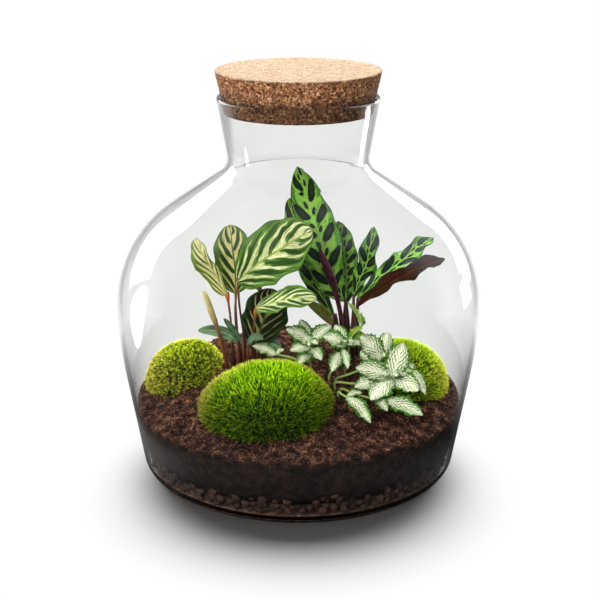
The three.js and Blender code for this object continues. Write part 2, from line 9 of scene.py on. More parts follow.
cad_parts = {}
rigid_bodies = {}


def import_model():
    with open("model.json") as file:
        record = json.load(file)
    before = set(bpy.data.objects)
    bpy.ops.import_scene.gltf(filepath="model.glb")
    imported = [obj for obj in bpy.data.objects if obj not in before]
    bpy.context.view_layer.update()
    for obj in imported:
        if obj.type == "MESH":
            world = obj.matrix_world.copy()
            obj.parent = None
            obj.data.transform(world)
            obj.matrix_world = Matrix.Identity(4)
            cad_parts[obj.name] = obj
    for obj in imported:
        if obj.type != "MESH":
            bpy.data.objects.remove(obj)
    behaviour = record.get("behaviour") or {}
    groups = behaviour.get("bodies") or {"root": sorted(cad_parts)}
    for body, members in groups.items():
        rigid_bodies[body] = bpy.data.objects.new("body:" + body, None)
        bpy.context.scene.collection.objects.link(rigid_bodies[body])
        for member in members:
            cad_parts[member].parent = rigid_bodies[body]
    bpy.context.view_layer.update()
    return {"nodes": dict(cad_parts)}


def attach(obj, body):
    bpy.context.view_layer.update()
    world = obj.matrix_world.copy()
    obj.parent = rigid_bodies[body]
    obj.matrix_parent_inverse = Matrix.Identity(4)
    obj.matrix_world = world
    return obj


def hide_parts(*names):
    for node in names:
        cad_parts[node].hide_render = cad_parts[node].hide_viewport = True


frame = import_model()
mm = 0.001
fullTurn = 6.28
goldenTurn = 2.4  # between one leaf and the next round a shoot
print("frame loaded:", len(frame["nodes"]), "nodes")


# Camera: the photograph's viewing angle, fitted to the cork, the belly and the base
camera = {
    "place": (0.0, -0.900, 0.4335),
    "lookDown": 18.82,
    "focalLength": 75.65,
    "sensor": 36.0,
    "shiftX": 0.0027,
}


def newObject(name, data):
    made = bpy.data.objects.new(name, data)
    bpy.context.scene.collection.objects.link(made)
    return made


def setCamera(look):
    data = bpy.data.cameras.new("viewCamera")
    data.lens = look["focalLength"]
    data.sensor_width = look["sensor"]
    data.shift_x = look["shiftX"]
    data.clip_start = 0.02
    viewer = newObject("viewCamera", data)
    viewer.location = look["place"]
    viewer.rotation_euler = (math.radians(90 - look["lookDown"]), 0, 0)
    bpy.context.scene.camera = viewer


setCamera(camera)


# Small tools for node trees, used by materials and Geometry Nodes alike
def colour(text):
    # sRGB hex to linear red, green, blue and alpha
    channels = [int(text[i:i + 2], 16) / 255 for i in (1, 3, 5)]
    linear = [c / 12.92 if c <= 0.04045 else ((c + 0.055) / 1.055) ** 2.4 for c in channels]
    return (*linear, 1.0)


# short words for the kinds of node that repeat: Blender's kind, the output that is used, the sockets in the
# order in which they are given, and the usual settings
nodeKinds = {
    "place": ("ShaderNodeTexCoord", 3, (), {}),
    "attribute": ("ShaderNodeAttribute", 2, (), {}),
    "axes": ("ShaderNodeSeparateXYZ", 0, (0,), {}),
    "point": ("ShaderNodeCombineXYZ", 0, (0, 1, 2), {}),
    "vectors": ("ShaderNodeVectorMath", 0, (0, 1), {}),
    "scaled": ("ShaderNodeVectorMath", 0, (0, "Scale"), {"operation": "SCALE"}),
    "noise": ("ShaderNodeTexNoise", 0, ("Vector", "Scale", "Detail", "Roughness"), {}),
    "cells": ("ShaderNodeTexVoronoi", 0, ("Vector", "Scale"), {}),
    "ramp": ("ShaderNodeMapRange", 0, (0, 1, 2, 3, 4), {}),
    "step": ("ShaderNodeMapRange", 0, (0, 1, 2, 3, 4), {"interpolation_type": "SMOOTHSTEP"}),
    "between": ("ShaderNodeMix", 0, (0, 2, 3), {}),
    "blend": ("ShaderNodeMix", 2, (0, 6, 7), {"data_type": "RGBA"}),
    "brighter": ("ShaderNodeHueSaturation", 0, ("Value", "Color"), {}),
    "bump": ("ShaderNodeBump", 0, ("Strength", "Distance", "Height"), {}),
    "randomNumber": ("FunctionNodeRandomValue", 1, (2, 3, "Seed"), {"data_type": "FLOAT"}),
    "randomVector": ("FunctionNodeRandomValue", 0, (0, 1, "Seed"), {"data_type": "FLOAT_VECTOR"}),
    "marked": ("GeometryNodeStoreNamedAttribute", 0, ("Geometry", "Name", "Value"),
               {"data_type": "FLOAT", "domain": "INSTANCE"}),
}


def makeNode(tree, word, inputs=(), output=None, **settings):
    # adds a node by its short word, a math operation in capitals or Blender's own kind; its inputs are
    # values, hex colours or sockets, in order or by name; returns one of its outputs
    if word.isupper():
        kind, given, sockets, fixed = "ShaderNodeMath", 0, (0, 1, 2), {"operation": word}
    else:
        kind, given, sockets, fixed = nodeKinds.get(word, (word, 0, range(len(inputs)), {}))
    made = tree.nodes.new(kind)
    for name, value in {**fixed, **settings}.items():
        setattr(made, name, value)
    for key, value in inputs.items() if isinstance(inputs, dict) else zip(sockets, inputs):
        if isinstance(value, bpy.types.NodeSocket):
            tree.links.new(value, made.inputs[key])
        else:
            made.inputs[key].default_value = colour(value) if str(value).startswith("#") else value
    return made.outputs[given if output is None else output] if len(made.outputs) else made


def emptied(owner):
    # clears the nodes of a material or the world, and returns the function that adds nodes there
    owner.use_nodes = True
    owner.node_tree.nodes.clear()
    return partial(makeNode, owner.node_tree)


def newMaterial(name):
    material = bpy.data.materials.new(name)
    return material, emptied(material)


def paint(add, skin, layers):
    # lays colours over a skin, each where a pattern goes from one value to another, up to its share
    for pattern, start, end, share, tone in layers:
        where = add("step", [pattern, start, end, 0.0, share])
        skin = add("blend", [where, skin, tone])
    return skin


def finished(material, add, sockets):
    # ends a material with its shader, and gives it back
    shader = add("ShaderNodeBsdfPrincipled", sockets)
    add("ShaderNodeOutputMaterial", [shader])
    return material


# Small tools for meshes. A part is points in millimetres, faces, a material slot for each face,
# a pair of surface coordinates for each point and a tone for each point
def part(points, faces, slots, uvs=None, tone=0.0):
    points = np.asarray(points, float)
    uvs = np.zeros((len(points), 2)) if uvs is None else np.asarray(uvs, float)
    slots = [slots] * len(faces) if isinstance(slots, int) else slots
    tones = np.full(len(points), tone) if np.isscalar(tone) else np.asarray(tone, float)
    return {"points": points, "faces": faces, "slots": slots, "uvs": uvs, "tones": tones}


def joinParts(parts):
    faces, slots, start = [], [], 0
    for piece in parts:
        faces += [tuple(corner + start for corner in face) for face in piece["faces"]]
        slots += piece["slots"]
        start += len(piece["points"])
    gathered = {key: np.concatenate([piece[key] for piece in parts]) for key in ("points", "uvs", "tones")}
    return {**gathered, "faces": faces, "slots": slots}


def readAll(items, key, kind=np.float32, width=1):
    values = np.empty(len(items) * width, kind)
    items.foreach_get(key, values)
    return values


def meshObject(name, parts, materials):
    whole = joinParts(parts)
    mesh = bpy.data.meshes.new(name)
    mesh.from_pydata((whole["points"] * mm).tolist(), [], whole["faces"])
    for material in materials:
        mesh.materials.append(material)
    mesh.polygons.foreach_set("material_index", np.array(whole["slots"], np.int32))
    mesh.polygons.foreach_set("use_smooth", np.ones(len(mesh.polygons), bool))
    corners = readAll(mesh.loops, "vertex_index", np.int32)
    layer = mesh.uv_layers.new(name="alongAcross")
    layer.data.foreach_set("uv", whole["uvs"][corners].astype(np.float32).ravel())
    tone = mesh.attributes.new("tone", "FLOAT", "POINT")
    tone.data.foreach_set("value", whole["tones"].astype(np.float32))
    mesh.update()
    return newObject(name, mesh)


def settle(piece, node):
    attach(piece, "root")
    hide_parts(node)


def makePiece(node, parts, materials):
    # a piece named as its solid is, in camelCase
    first, *others = node.split("_")
    settle(meshObject(first + "".join(word.capitalize() for word in others), parts, materials), node)


def ringFaces(rings, sectors, downwards=False):
    # the faces of a closed round body: one point, rings of points and one point, upwards or downwards
    last = rings * sectors + 1
    faces = []
    for sector in range(sectors):
        after = (sector + 1) % sectors
        faces.append((0, 1 + after, 1 + sector))
        faces.append((last, last - sectors + sector, last - sectors + after))
        for ring in range(rings - 1):
            low, high = 1 + ring * sectors, 1 + (ring + 1) * sectors
            faces.append((low + sector, low + after, high + after, high + sector))
    return [face[:1] + face[:0:-1] for face in faces] if downwards else faces


def turned(profile, sectors, shift=None):
    # a closed round body from a profile of radius and height that starts and ends on the axis
    angles = np.linspace(0, 2 * math.pi, sectors, endpoint=False)
    points = [(0, 0, profile[0][1])]
    for radius, height in profile[1:-1]:
        points += [(radius * math.cos(a), radius * math.sin(a), height) for a in angles]
    points.append((0, 0, profile[-1][1]))
    points = np.array(points)
    if shift is not None:
        points = shift(points)
    return part(points, ringFaces(len(profile) - 2, sectors), 0)


def arc(centreR, centreZ, radius, start, end, steps):
    angles = np.linspace(start, end, steps + 1)
    return [(centreR + radius * math.cos(a), centreZ + radius * math.sin(a)) for a in angles]


def curvePoints(points, along):
    # a centripetal Catmull-Rom curve through the points, as the solids' stems and midribs follow
    points = [np.array(p, float) for p in points]
    points = [2 * points[0] - points[1], *points, 2 * points[-1] - points[-2]]
    spans = len(points) - 3
    result = []
    for t in along:
        span = min(int(t * spans), spans - 1) if t > 0 else 0
        weight = t * spans - span
        p0, p1, p2, p3 = points[span:span + 4]
        d0, d1, d2 = (max(np.linalg.norm(b - a), 1e-4) ** 0.5 for a, b in ((p0, p1), (p1, p2), (p2, p3)))
        start = d1 * ((p1 - p0) / d0 - (p2 - p0) / (d0 + d1) + (p2 - p1) / d1)
        end = d1 * ((p2 - p1) / d1 - (p3 - p1) / (d1 + d2) + (p3 - p2) / d2)
        bend = -3 * p1 + 3 * p2 - 2 * start - end
        twist = 2 * p1 - 2 * p2 + start + end
        result.append(p1 + start * weight + bend * weight ** 2 + twist * weight ** 3)
    return np.array(result)


def unit(vectors):
    return vectors / np.linalg.norm(vectors, axis=-1, keepdims=True)


def tube(points, radii, sides, slot, tone=0.0):
    # a closed round stem along points, with a radius for each of them
    points = np.asarray(points, float)
    tangents = unit(np.gradient(points, axis=0))
    across = np.cross(tangents[0], (0.31, 0.94, 0.12))
    rows, uvs = [], []
    turns = np.linspace(0, 2 * math.pi, sides, endpoint=False)
    for index, (point, tangent, radius) in enumerate(zip(points, tangents, radii)):
        across = unit(across - tangent * across.dot(tangent))
        other = np.cross(tangent, across)
        rows += [point + radius * (math.cos(a) * across + math.sin(a) * other) for a in turns]
        uvs += [(index / (len(points) - 1), a / (2 * math.pi)) for a in turns]
    places = [len(rows), *range(len(rows)), len(rows) + 1]  # both ends come after the rings
    faces = [tuple(places[corner] for corner in face) for face in ringFaces(len(points), sides)]
    rows += [points[0], points[-1]]
    uvs += [(0, 0), (1, 0)]
    return part(rows, faces, slot, uvs, tone)


# A Geometry Nodes tree with named inputs, and the plain mesh that it makes on a host mesh
def newGrowth(name, inputs):
    tree = bpy.data.node_groups.new(name, "GeometryNodeTree")
    tree.interface.new_socket("Geometry", in_out="OUTPUT", socket_type="NodeSocketGeometry")
    for title, kind in {"Geometry": "NodeSocketGeometry", **inputs}.items():
        tree.interface.new_socket(title, in_out="INPUT", socket_type=kind)
    start = tree.nodes.new("NodeGroupInput")
    given = {socket.name: socket for socket in start.outputs if socket.name}
    return tree, partial(makeNode, tree), given


def laidAtRandom(add, points, shape, turn, size, seed):
    # the shape on every point, each marked with its own lot between 0 and 1
    laid = add("GeometryNodeInstanceOnPoints", {
        "Points": points, "Instance": shape, "Rotation": turn, "Scale": size,
    })
    lot = add("randomNumber", [0.0, 1.0, seed])
    marked = add("marked", [laid, "lot", lot])
    return add("GeometryNodeRealizeInstances", [marked])


def endGrowth(add, geometry, material):
    whole = add("GeometryNodeRealizeInstances", [geometry])
    dressed = add("GeometryNodeSetMaterial", {"Geometry": whole, "Material": material})
    add("NodeGroupOutput", [dressed])


def growOn(host, tree, values):
    modifier = host.modifiers.new(tree.name, "NODES")
    modifier.node_group = tree
    for item in tree.interface.items_tree:
        if item.item_type == "SOCKET" and item.in_out == "INPUT" and item.name in values:
            modifier[item.identifier] = values[item.name]
    host.update_tag()
    evaluated = host.evaluated_get(bpy.context.evaluated_depsgraph_get())
    mesh = bpy.data.meshes.new_from_object(evaluated)
    host.modifiers.remove(modifier)
    return mesh


# Glass jar
jar = {
    "bellyRadius": 135, "bellyHeight": 127, "lowerBellyArc": 320, "upperBellyArc": 86,
    "sideLean": math.radians(9.35), "shoulderLean": math.radians(56), "footRadius": 9.7,
    "waistRadius": 51.7, "waistArc": 14, "neckFlare": math.radians(8.9),
    "rimHeight": 281, "rimBead": 1.5, "wall": 2.6, "floorThickness": 3, "sectors": 192,
    "glassColour": "#FBFCFB", "glassIor": 1.47,
}


def jarWall(inset, floor, foot, steps):
    lowerCentre = jar["bellyRadius"] - jar["lowerBellyArc"]
    lean, shoulder, flare = jar["sideLean"], jar["shoulderLean"], jar["neckFlare"]
    lowerArc, upperArc = jar["lowerBellyArc"] - inset, jar["upperBellyArc"] - inset
    sideR = lowerCentre + lowerArc * math.cos(lean)
    sideZ = jar["bellyHeight"] - lowerArc * math.sin(lean)
    footZ = floor + foot
    footTouchR = sideR - (sideZ - (footZ - foot * math.sin(lean))) * math.tan(lean)
    upperCentre = jar["bellyRadius"] - jar["upperBellyArc"]
    shoulderR = upperCentre + jar["upperBellyArc"] * math.cos(shoulder)
    shoulderZ = jar["bellyHeight"] + jar["upperBellyArc"] * math.sin(shoulder)
    waistCentre = jar["waistRadius"] + jar["waistArc"]
    slope = (shoulderR + jar["waistArc"] * math.cos(shoulder) - waistCentre) / math.sin(shoulder)
    waistZ = shoulderZ + slope * math.cos(shoulder) + jar["waistArc"] * math.sin(shoulder)
    return [
        *arc(footTouchR - foot * math.cos(lean), footZ, foot, -math.pi / 2, -lean, 2 * steps),
        *arc(lowerCentre, jar["bellyHeight"], lowerArc, -lean, 0, 3 * steps)[:-1],
        *arc(upperCentre, jar["bellyHeight"], upperArc, 0, shoulder, 4 * steps),
        *arc(waistCentre, waistZ, jar["waistArc"] + inset, math.pi + shoulder, math.pi - flare, 2 * steps),
    ]


innerWall = jarWall(jar["wall"], jar["floorThickness"], jar["footRadius"] - 1, 6)


def neckInnerRadius(z):
    topR, topZ = innerWall[-1]
    return topR + (z - topZ) * math.tan(jar["neckFlare"])


def insideRadius(z):
    # the jar's inner radius at a height below the belly
    rising = [(height, radius) for radius, height in innerWall if height < jar["bellyHeight"]]
    return float(np.interp(z, *zip(*rising)))


def clearGlass():
    # soda-lime glass, blown and fire-polished: clear, with a faint grey body and bright hard reflections
    material, add = newMaterial("blownSodaLimeGlass")
    return finished(material, add, {
        "Base Color": jar["glassColour"], "Roughness": 0.0, "IOR": jar["glassIor"],
        "Transmission Weight": 1.0,
    })


def makeJar():
    outer = jarWall(0, 0, jar["footRadius"], 6)
    beadZ = jar["rimHeight"] - jar["rimBead"]
    lipR = neckInnerRadius(beadZ) + jar["wall"] / 2 + 0.2
    rim = arc(lipR, beadZ, jar["rimBead"], -0.5, math.pi, 14)
    outerNeck, innerNeck = (
        [tuple(np.array(start) * (1 - k) + np.array(end) * k) for k in np.linspace(0, 1, 6)[1:-1]]
        for start, end in ((outer[-1], rim[0]), (rim[-1], innerWall[-1]))
    )
    profile = [(0, 0), *outer, *outerNeck, *rim, *innerNeck, *reversed(innerWall), (0, jar["floorThickness"])]
    piece = meshObject("glassJar", [turned(profile, jar["sectors"])], [clearGlass()])
    piece.visible_shadow = False
    piece.visible_diffuse = False
    settle(piece, "glass_jar")


makeJar()
print("jar turned")


# Cork
cork = {
    "bottom": 270, "top": 300, "bottomRadius": 53.4, "topRadius": 59.6, "bevel": 1.0,
    "granule": 2.3, "seamDepth": 0.4, "pitDepth": 1.5, "pitShare": 0.16, "sanded": 0.35, "sectors": 320,
    "sideColours": ("#442612", "#84583A", "#C09468"), "topColours": ("#775E48", "#98836C", "#AA9880"),
    "seamColour": "#2A170C",
}


def corkMaterial():
    # agglomerated cork, ground granules pressed with binder: a mottle of browns with dark seams,
    # paler where the top was sanded
    material, add = newMaterial("agglomeratedCork")
    place = add("place")
    height = add("axes", [place], output=2)
    onTop = add("step", [height, (cork["top"] - 0.9) * mm, (cork["top"] - 0.35) * mm])
    wobble = add("noise", [place, 1 / (4 * mm), 3.0], output=1)
    bent = add("ShaderNodeMix", {0: 0.0016, 4: place, 5: wobble}, output=1, data_type="VECTOR")
    perMetre = 1 / (cork["granule"] * mm)
    grain = add("cells", [bent, perMetre], output=1)
    crumbly = add("noise", [place, 1 / (1.5 * mm), 5.0])
    cell = add("ShaderNodeSeparateColor", [grain])
    cell = add("MULTIPLY_ADD", [cell, 0.5, -0.55])
    lot = add("MULTIPLY_ADD", [crumbly, 1.6, cell])
    hole = add("noise", [bent, 1 / (1.9 * mm), 3.0])
    seam = add("cells", [bent, perMetre], feature="DISTANCE_TO_EDGE")
    speck = add("noise", [place, 1 / (0.7 * mm), 4.0])
    sideSeam = add("step", [seam, 0.08, 0.0, 0.0, 0.55])
    sideHole = add("step", [hole, 0.53, 0.62, 0.0, 0.9])
    sideSeam = add("MAXIMUM", [sideSeam, sideHole])
    dark, mid, light = cork["sideColours"]
    side = paint(add, dark, [(lot, 0.1, 0.5, 1.0, mid), (lot, 0.55, 0.95, 1.0, light)])
    side = add("blend", [sideSeam, side, cork["seamColour"]])
    dark, mid, light = cork["topColours"]
    top = paint(add, dark, [
        (lot, 0.1, 0.45, 1.0, mid), (lot, 0.5, 0.85, 1.0, light), (hole, 0.60, 0.70, 0.5, dark),
    ])
    both = add("blend", [onTop, side, top])
    value = add("step", [speck, 0.25, 0.75, 0.7, 1.25])
    rim = jar["rimHeight"]
    paleAboveRim = add("step", [height, rim * mm, (rim + 10) * mm, 0.62, 1.35])  # paler where it stands proud above the rim, darker below it down in the neck
    paleAboveRim = add("between", [onTop, paleAboveRim, 1.0])
    value = add("MULTIPLY", [value, paleAboveRim])
    tint = add("brighter", [value, both])
    closed = add("MULTIPLY_ADD", [sideSeam, -1.0, 1.0])
    relief = add("ADD", [closed, speck])
    bump = add("bump", [0.5, 0.4 * mm, relief])
    return finished(material, add, {
        "Base Color": tint, "Roughness": 0.88, "IOR": 1.4, "Specular IOR Level": 0.3, "Normal": bump,
    })


def granulate(points):
    # presses seams and pits into the cork's skin, least on its sanded top
    for index, point in enumerate(points):
        radius = math.hypot(point[0], point[1])
        distances, cells = noise.voronoi(Vector(point) / cork["granule"])
        seam = max(0.0, 1 - (distances[1] - distances[0]) / 0.22)
        depth = cork["seamDepth"] * seam
        if noise.cell(cells[0] * 7.3) < cork["pitShare"]:
            depth += cork["pitDepth"] * max(0.0, 1 - distances[0] / 0.5)
        if point[2] > cork["top"] - 0.01:
            points[index][2] -= cork["sanded"] * depth
        elif radius > cork["bottomRadius"] - 6:
            points[index][:2] *= (radius - depth) / radius
    return points


def makeCork():
    rise = np.linspace(0, 1, 36)
    b, t = cork["bottom"], cork["top"]
    low, high, edge = cork["bottomRadius"], cork["topRadius"], cork["bevel"]
    side = [(low + (high - low) * k, b + edge + (t - b - 2 * edge) * k) for k in rise]
    flatTop = [((high - edge) * (1 - k), t) for k in np.linspace(0, 1, 26)[:-1]]
    flatBottom = [((low - edge) * k, b) for k in np.linspace(0, 1, 12)[1:]]
    profile = [(0, b), *flatBottom, *side, (high - 0.25 * edge, t - 0.25 * edge), *flatTop, (0, t)]
    piece = meshObject("corkStopper", [turned(profile, cork["sectors"], shift=granulate)], [corkMaterial()])
    settle(piece, "cork_stopper")


makeCork()
print("cork pressed")


# Planting: the shape of the soil that everything stands in
planting = {
    "pebbleTop": 20, "soilEdge": 53, "soilRise": 27, "soilBackLean": 0.5, "clearance": 0.3, "rootDepth": 11,
}
soilReach = insideRadius(planting["soilEdge"])


def moundHeight(x, y):
    out = (x * x + y * y) / soilReach ** 2
    lean = 1 + planting["soilBackLean"] * y / soilReach
    return planting["soilEdge"] + planting["soilRise"] * max(0, 1 - out) * lean


# Clay pebbles
pebbles = {
    "rows": [5.4, 9.6, 14.0, 18.4, 22.4], "round": [90, 92, 88, 80, 60], "share": [1.0, 1.0, 1.0, 1.0, 0.75],
    "size": 3.4, "spread": 0.42, "rough": 3.4, "jitter": 1.2, "seed": 4, "bedInset": 5.0, "finesDepth": 1.5,
    "colours": ("#2E1F18", "#412C22", "#4E382C"), "bed": "#38271F", "bedLight": "#54402F",
}


def clayMaterial():
    # expanded clay pebbles, fired and damp: dull red-brown skins, each a little different, with fine pores
    material, add = newMaterial("dampFiredClay")
    place = add("place")
    lot = add("attribute", attribute_name="lot")
    patch = add("noise", [place, 1 / (2 * mm), 5.0])
    dark, mid, light = pebbles["colours"]
    skin = paint(add, dark, [
        (lot, 0.0, 0.6, 1.0, mid), (lot, 0.7, 1.0, 1.0, light), (patch, 0.42, 0.62, 0.8, dark),
    ])
    behind = add("ramp", [lot, -0.5, -0.1])
    stone = add("cells", [place, 1 / (5 * mm)])
    deeper = paint(add, pebbles["bed"], [(stone, 0.65, 0.1, 1.0, pebbles["bedLight"])])
    skin = add("blend", [behind, deeper, skin])
    height = add("axes", [place], output=2)
    paintedFootLight = add("step", [height, 3 * mm, 9 * mm, 2.8, 1.0])  # painted light: paler at the foot, where the pebbles face down away from the lamps
    skin = add("brighter", [paintedFootLight, skin])
    pores = add("noise", [place, 1 / (0.6 * mm), 3.0])
    bump = add("bump", [0.6, 0.3 * mm, pores])
    return finished(material, add, {
        "Base Color": skin, "Roughness": 0.75, "Specular IOR Level": 0.3, "Normal": bump,
    })


def pebbleGrowth(material):
    tree, add, given = newGrowth("layPebbles", {
        "Pebble Size": "NodeSocketFloat", "Size Spread": "NodeSocketFloat", "Roughness": "NodeSocketFloat",
        "Seed": "NodeSocketInt",
    })
    ball = add("GeometryNodeMeshIcoSphere", {"Radius": 1.0, "Subdivisions": 3})
    low = add("SUBTRACT", [1.0, given["Size Spread"]])
    high = add("MULTIPLY_ADD", [given["Size Spread"], 0.4, 1.0])
    lowest = add("point", [low, low, low])
    highest = add("point", [high, high, high])
    stretch = add("randomVector", [lowest, highest, given["Seed"]])
    size = add("scaled", [stretch, given["Pebble Size"]])
    turn = add("randomVector", [(0, 0, 0), (fullTurn, fullTurn, fullTurn), given["Seed"]])
    whole = laidAtRandom(add, given["Geometry"], ball, turn, size, given["Seed"])
    where = add("GeometryNodeInputPosition")
    bumps = add("noise", [where, 1 / (5 * mm), 3.0])
    centred = add("SUBTRACT", [bumps, 0.55])
    lift = add("MULTIPLY", [centred, given["Roughness"]])
    outward = add("GeometryNodeInputNormal")
    away = add("scaled", [outward, lift])
    lumpy = add("GeometryNodeSetPosition", {"Geometry": whole, "Offset": away})
    smooth = add("GeometryNodeSetShadeSmooth", [lumpy])
    endGrowth(add, smooth, material)
    return tree


def makePebbles():
    random = np.random.default_rng(pebbles["seed"])
    clay = clayMaterial()
    spots = []
    for height, count, share in zip(pebbles["rows"], pebbles["round"], pebbles["share"]):
        for index in range(count):
            angle = 2 * math.pi * (index + 0.5 * random.random()) / count
            z = height + random.uniform(-pebbles["jitter"], pebbles["jitter"])
            radius = insideRadius(z) - pebbles["size"] * (random.uniform(1.0, 1.3) if index % 2 else 1.7)
            if random.random() < share:
                spots.append((radius * math.cos(angle), radius * math.sin(angle), z))
    host = meshObject("pebbleSpots", [part(spots, [], [])], [clay])
    mesh = growOn(host, pebbleGrowth(clay), {
        "Pebble Size": pebbles["size"] * mm, "Size Spread": pebbles["spread"],
        "Roughness": pebbles["rough"] * mm, "Seed": pebbles["seed"],
    })
    floor = jar["floorThickness"] + planting["clearance"]
    low, fines = floor - planting["clearance"] - 0.05, pebbles["finesDepth"]
    foot = [(insideRadius(low + fines * k) + 0.05, low + fines * k) for k in np.linspace(0, 1, 9) ** 2]
    top = planting["pebbleTop"]
    rises = (low + fines + 1.5, low + fines + 4, top - 4, top)
    wall = [(insideRadius(z) - pebbles["bedInset"], z) for z in rises]
    bed = turned([(0, low), *foot, *wall, (0, top)], jar["sectors"])
    bed["tones"][:] = -1.0
    loose = readAll(mesh.vertices, "co", width=3).reshape(-1, 3) / mm
    reach = np.hypot(loose[:, 0], loose[:, 1])
    limit = np.array([insideRadius(z) for z in loose[:, 2]]) - planting["clearance"]
    loose[:, :2] *= np.minimum(1, limit / reach)[:, None]
    loose[:, 2] = np.maximum(loose[:, 2], floor)
    lots = readAll(mesh.attributes["lot"].data, "value")
    faces = [tuple(polygon.vertices) for polygon in mesh.polygons]
    piece = meshObject("clayPebbles", [bed, part(loose, faces, 0, tone=lots)], [clay])
    piece.data.attributes["tone"].name = "lot"
    bpy.data.objects.remove(host)
    settle(piece, "clay_pebble_layer")


makePebbles()
print("pebbles laid")


# Potting soil
soil = {
    "rings": 84, "sideRings": 13, "sectors": 300, "fadeWidth": 14, "recess": 2.4, "seed": 9,
    "coarse": 7.0, "coarseHeight": 1.3, "fine": 2.4, "fineHeight": 1.1, "crumbs": 4200, "crumbSize": 1.05,
    "crumbShape": (1.2, 0.9, 0.7), "fibres": 1500, "fibreLength": 5.0, "fibreThick": 0.16,
    "backLump": 7, "backLumpAt": (-9, 44), "backLumpSpread": 260,
    "topColours": ("#0C0603", "#352018", "#7A543E"), "sideColours": ("#0D0806", "#2A1C16", "#5C463B"),
    "fibreColour": "#7A5640",
}


def soilMaterial():
    # peat-based potting soil, loose and moist: near black when wet against the glass, brown crumbs where dry
    material, add = newMaterial("moistPeatSoil")
    place = add("place")
    lot = add("attribute", attribute_name="tone")
    clump = add("noise", [place, 1 / (6 * mm), 6.0])
    crumb = add("noise", [place, 1 / (1.2 * mm), 4.0])
    half = add("MULTIPLY", [clump, 0.5])
    both = add("MULTIPLY_ADD", [crumb, 0.5, half])
    toLeft, _, height = add("axes", [place]).node.outputs
    dark, mid, light = soil["topColours"]
    top = paint(add, dark, [(both, 0.42, 0.52, 1.0, mid), (both, 0.53, 0.62, 1.0, light)])
    dark, light, paintedLeftSheen = soil["sideColours"]  # the third colour is a painted sheen and light, lighter towards the left
    wet = paint(add, dark, [(both, 0.42, 0.62, 1.0, light), (toLeft, -90 * mm, -135 * mm, 0.9, paintedLeftSheen)])
    skin = add("blend", [lot, wet, top])
    each = add("attribute", attribute_name="lot")
    value = add("ramp", [each, 0.0, 1.0, 1.0, 2.7])
    # darker towards the bottom of the soil
    darkerLow = add("step", [height, 20 * mm, 40 * mm, 0.75, 1.0])
    value = add("MULTIPLY", [value, darkerLow])
    skin = add("brighter", [value, skin])
    bump = add("bump", [0.8, 0.7 * mm, both])
    return finished(material, add, {
        "Base Color": skin, "Roughness": 0.92, "Specular IOR Level": 0.15, "Normal": bump,
    })


def fibreMaterial():
    # coconut and root fibres in the soil: thin, dry and paler than the crumbs round them
    material, add = newMaterial("dryRootFibre")
    lot = add("attribute", attribute_name="lot")
    skin = add("blend", [lot, soil["topColours"][1], soil["fibreColour"]])
    return finished(material, add, {"Base Color": skin, "Roughness": 0.8})


def soilHeight(x, y):
    radius = math.hypot(x, y)
    fade = min(1.0, max(0.0, (soilReach - radius) / soil["fadeWidth"]))
    broad = 1.3 * math.sin(x * 0.23 + 1.3) * math.sin(y * 0.19 + 0.4)  # as the solid's lumps
    broad += 0.7 * math.sin(x * 0.16 + y * 0.15 + 0.5)
    lumpX, lumpY = soil["backLumpAt"]
    backLump = soil["backLump"] * math.exp(-((x - lumpX) ** 2 + (y - lumpY) ** 2) / soil["backLumpSpread"])
    coarse = noise.fractal(Vector((x, y, 3.0)) / soil["coarse"], 0.9, 2.1, 4)
    fine = noise.fractal(Vector((x, y, 8.0)) / soil["fine"], 0.8, 2.0, 3)
    relief = soil["coarseHeight"] * coarse + soil["fineHeight"] * fine
    return moundHeight(x, y) + fade * (broad + backLump) + (0.35 + 0.65 * fade) * relief


def scatterGrowth(name, material):
    # lays a small shape on a surface at random, upright on it to a share that Lean sets
    numbers = ("Per Square Metre", "Smallest", "Largest", "Lean", "Ragged")
    tree, add, given = newGrowth(name, {
        "Shape": "NodeSocketObject", **dict.fromkeys(numbers, "NodeSocketFloat"), "Seed": "NodeSocketInt",
    })
    sown = add("GeometryNodeDistributePointsOnFaces", {
        "Mesh": given["Geometry"], "Density": given["Per Square Metre"], "Seed": given["Seed"],
    }).node.outputs
    shape = add("GeometryNodeObjectInfo", {"Object": given["Shape"]}, output="Geometry")
    back = add("MULTIPLY", [given["Lean"], -1.0])
    least = add("point", [back, back, -fullTurn / 2])
    most = add("point", [given["Lean"], given["Lean"], fullTurn / 2])
    tip = add("randomVector", [least, most, given["Seed"]])
    tilt = add("FunctionNodeEulerToRotation", [tip])
    turn = add("FunctionNodeRotateRotation", [sown["Rotation"], tilt], rotation_space="LOCAL")
    size = add("randomNumber", [given["Smallest"], given["Largest"], given["Seed"]])
    whole = laidAtRandom(add, sown["Points"], shape, turn, size, 3)
    where = add("GeometryNodeInputPosition")
    wander = add("noise", [where, 1 / (1.5 * mm), 1.0], output=1)
    centred = add("vectors", [wander, (0.5, 0.5, 0.5)], operation="SUBTRACT")
    shift = add("scaled", [centred, given["Ragged"]])
    ragged = add("GeometryNodeSetPosition", {"Geometry": whole, "Offset": shift})
    endGrowth(add, ragged, material)
    return tree


def scatterOn(host, name, shape, material, count, values):
    # lays so many of a shape on a host mesh, and returns the plain mesh of them all
    area = sum(polygon.area for polygon in host.data.polygons)
    single = meshObject(name + "Shape", shape, [material])
    bpy.context.view_layer.update()
    growth = scatterGrowth(name, material)
    mesh = growOn(host, growth, {"Shape": single, "Per Square Metre": count / area, **values})
    bpy.data.objects.remove(single)
    return mesh


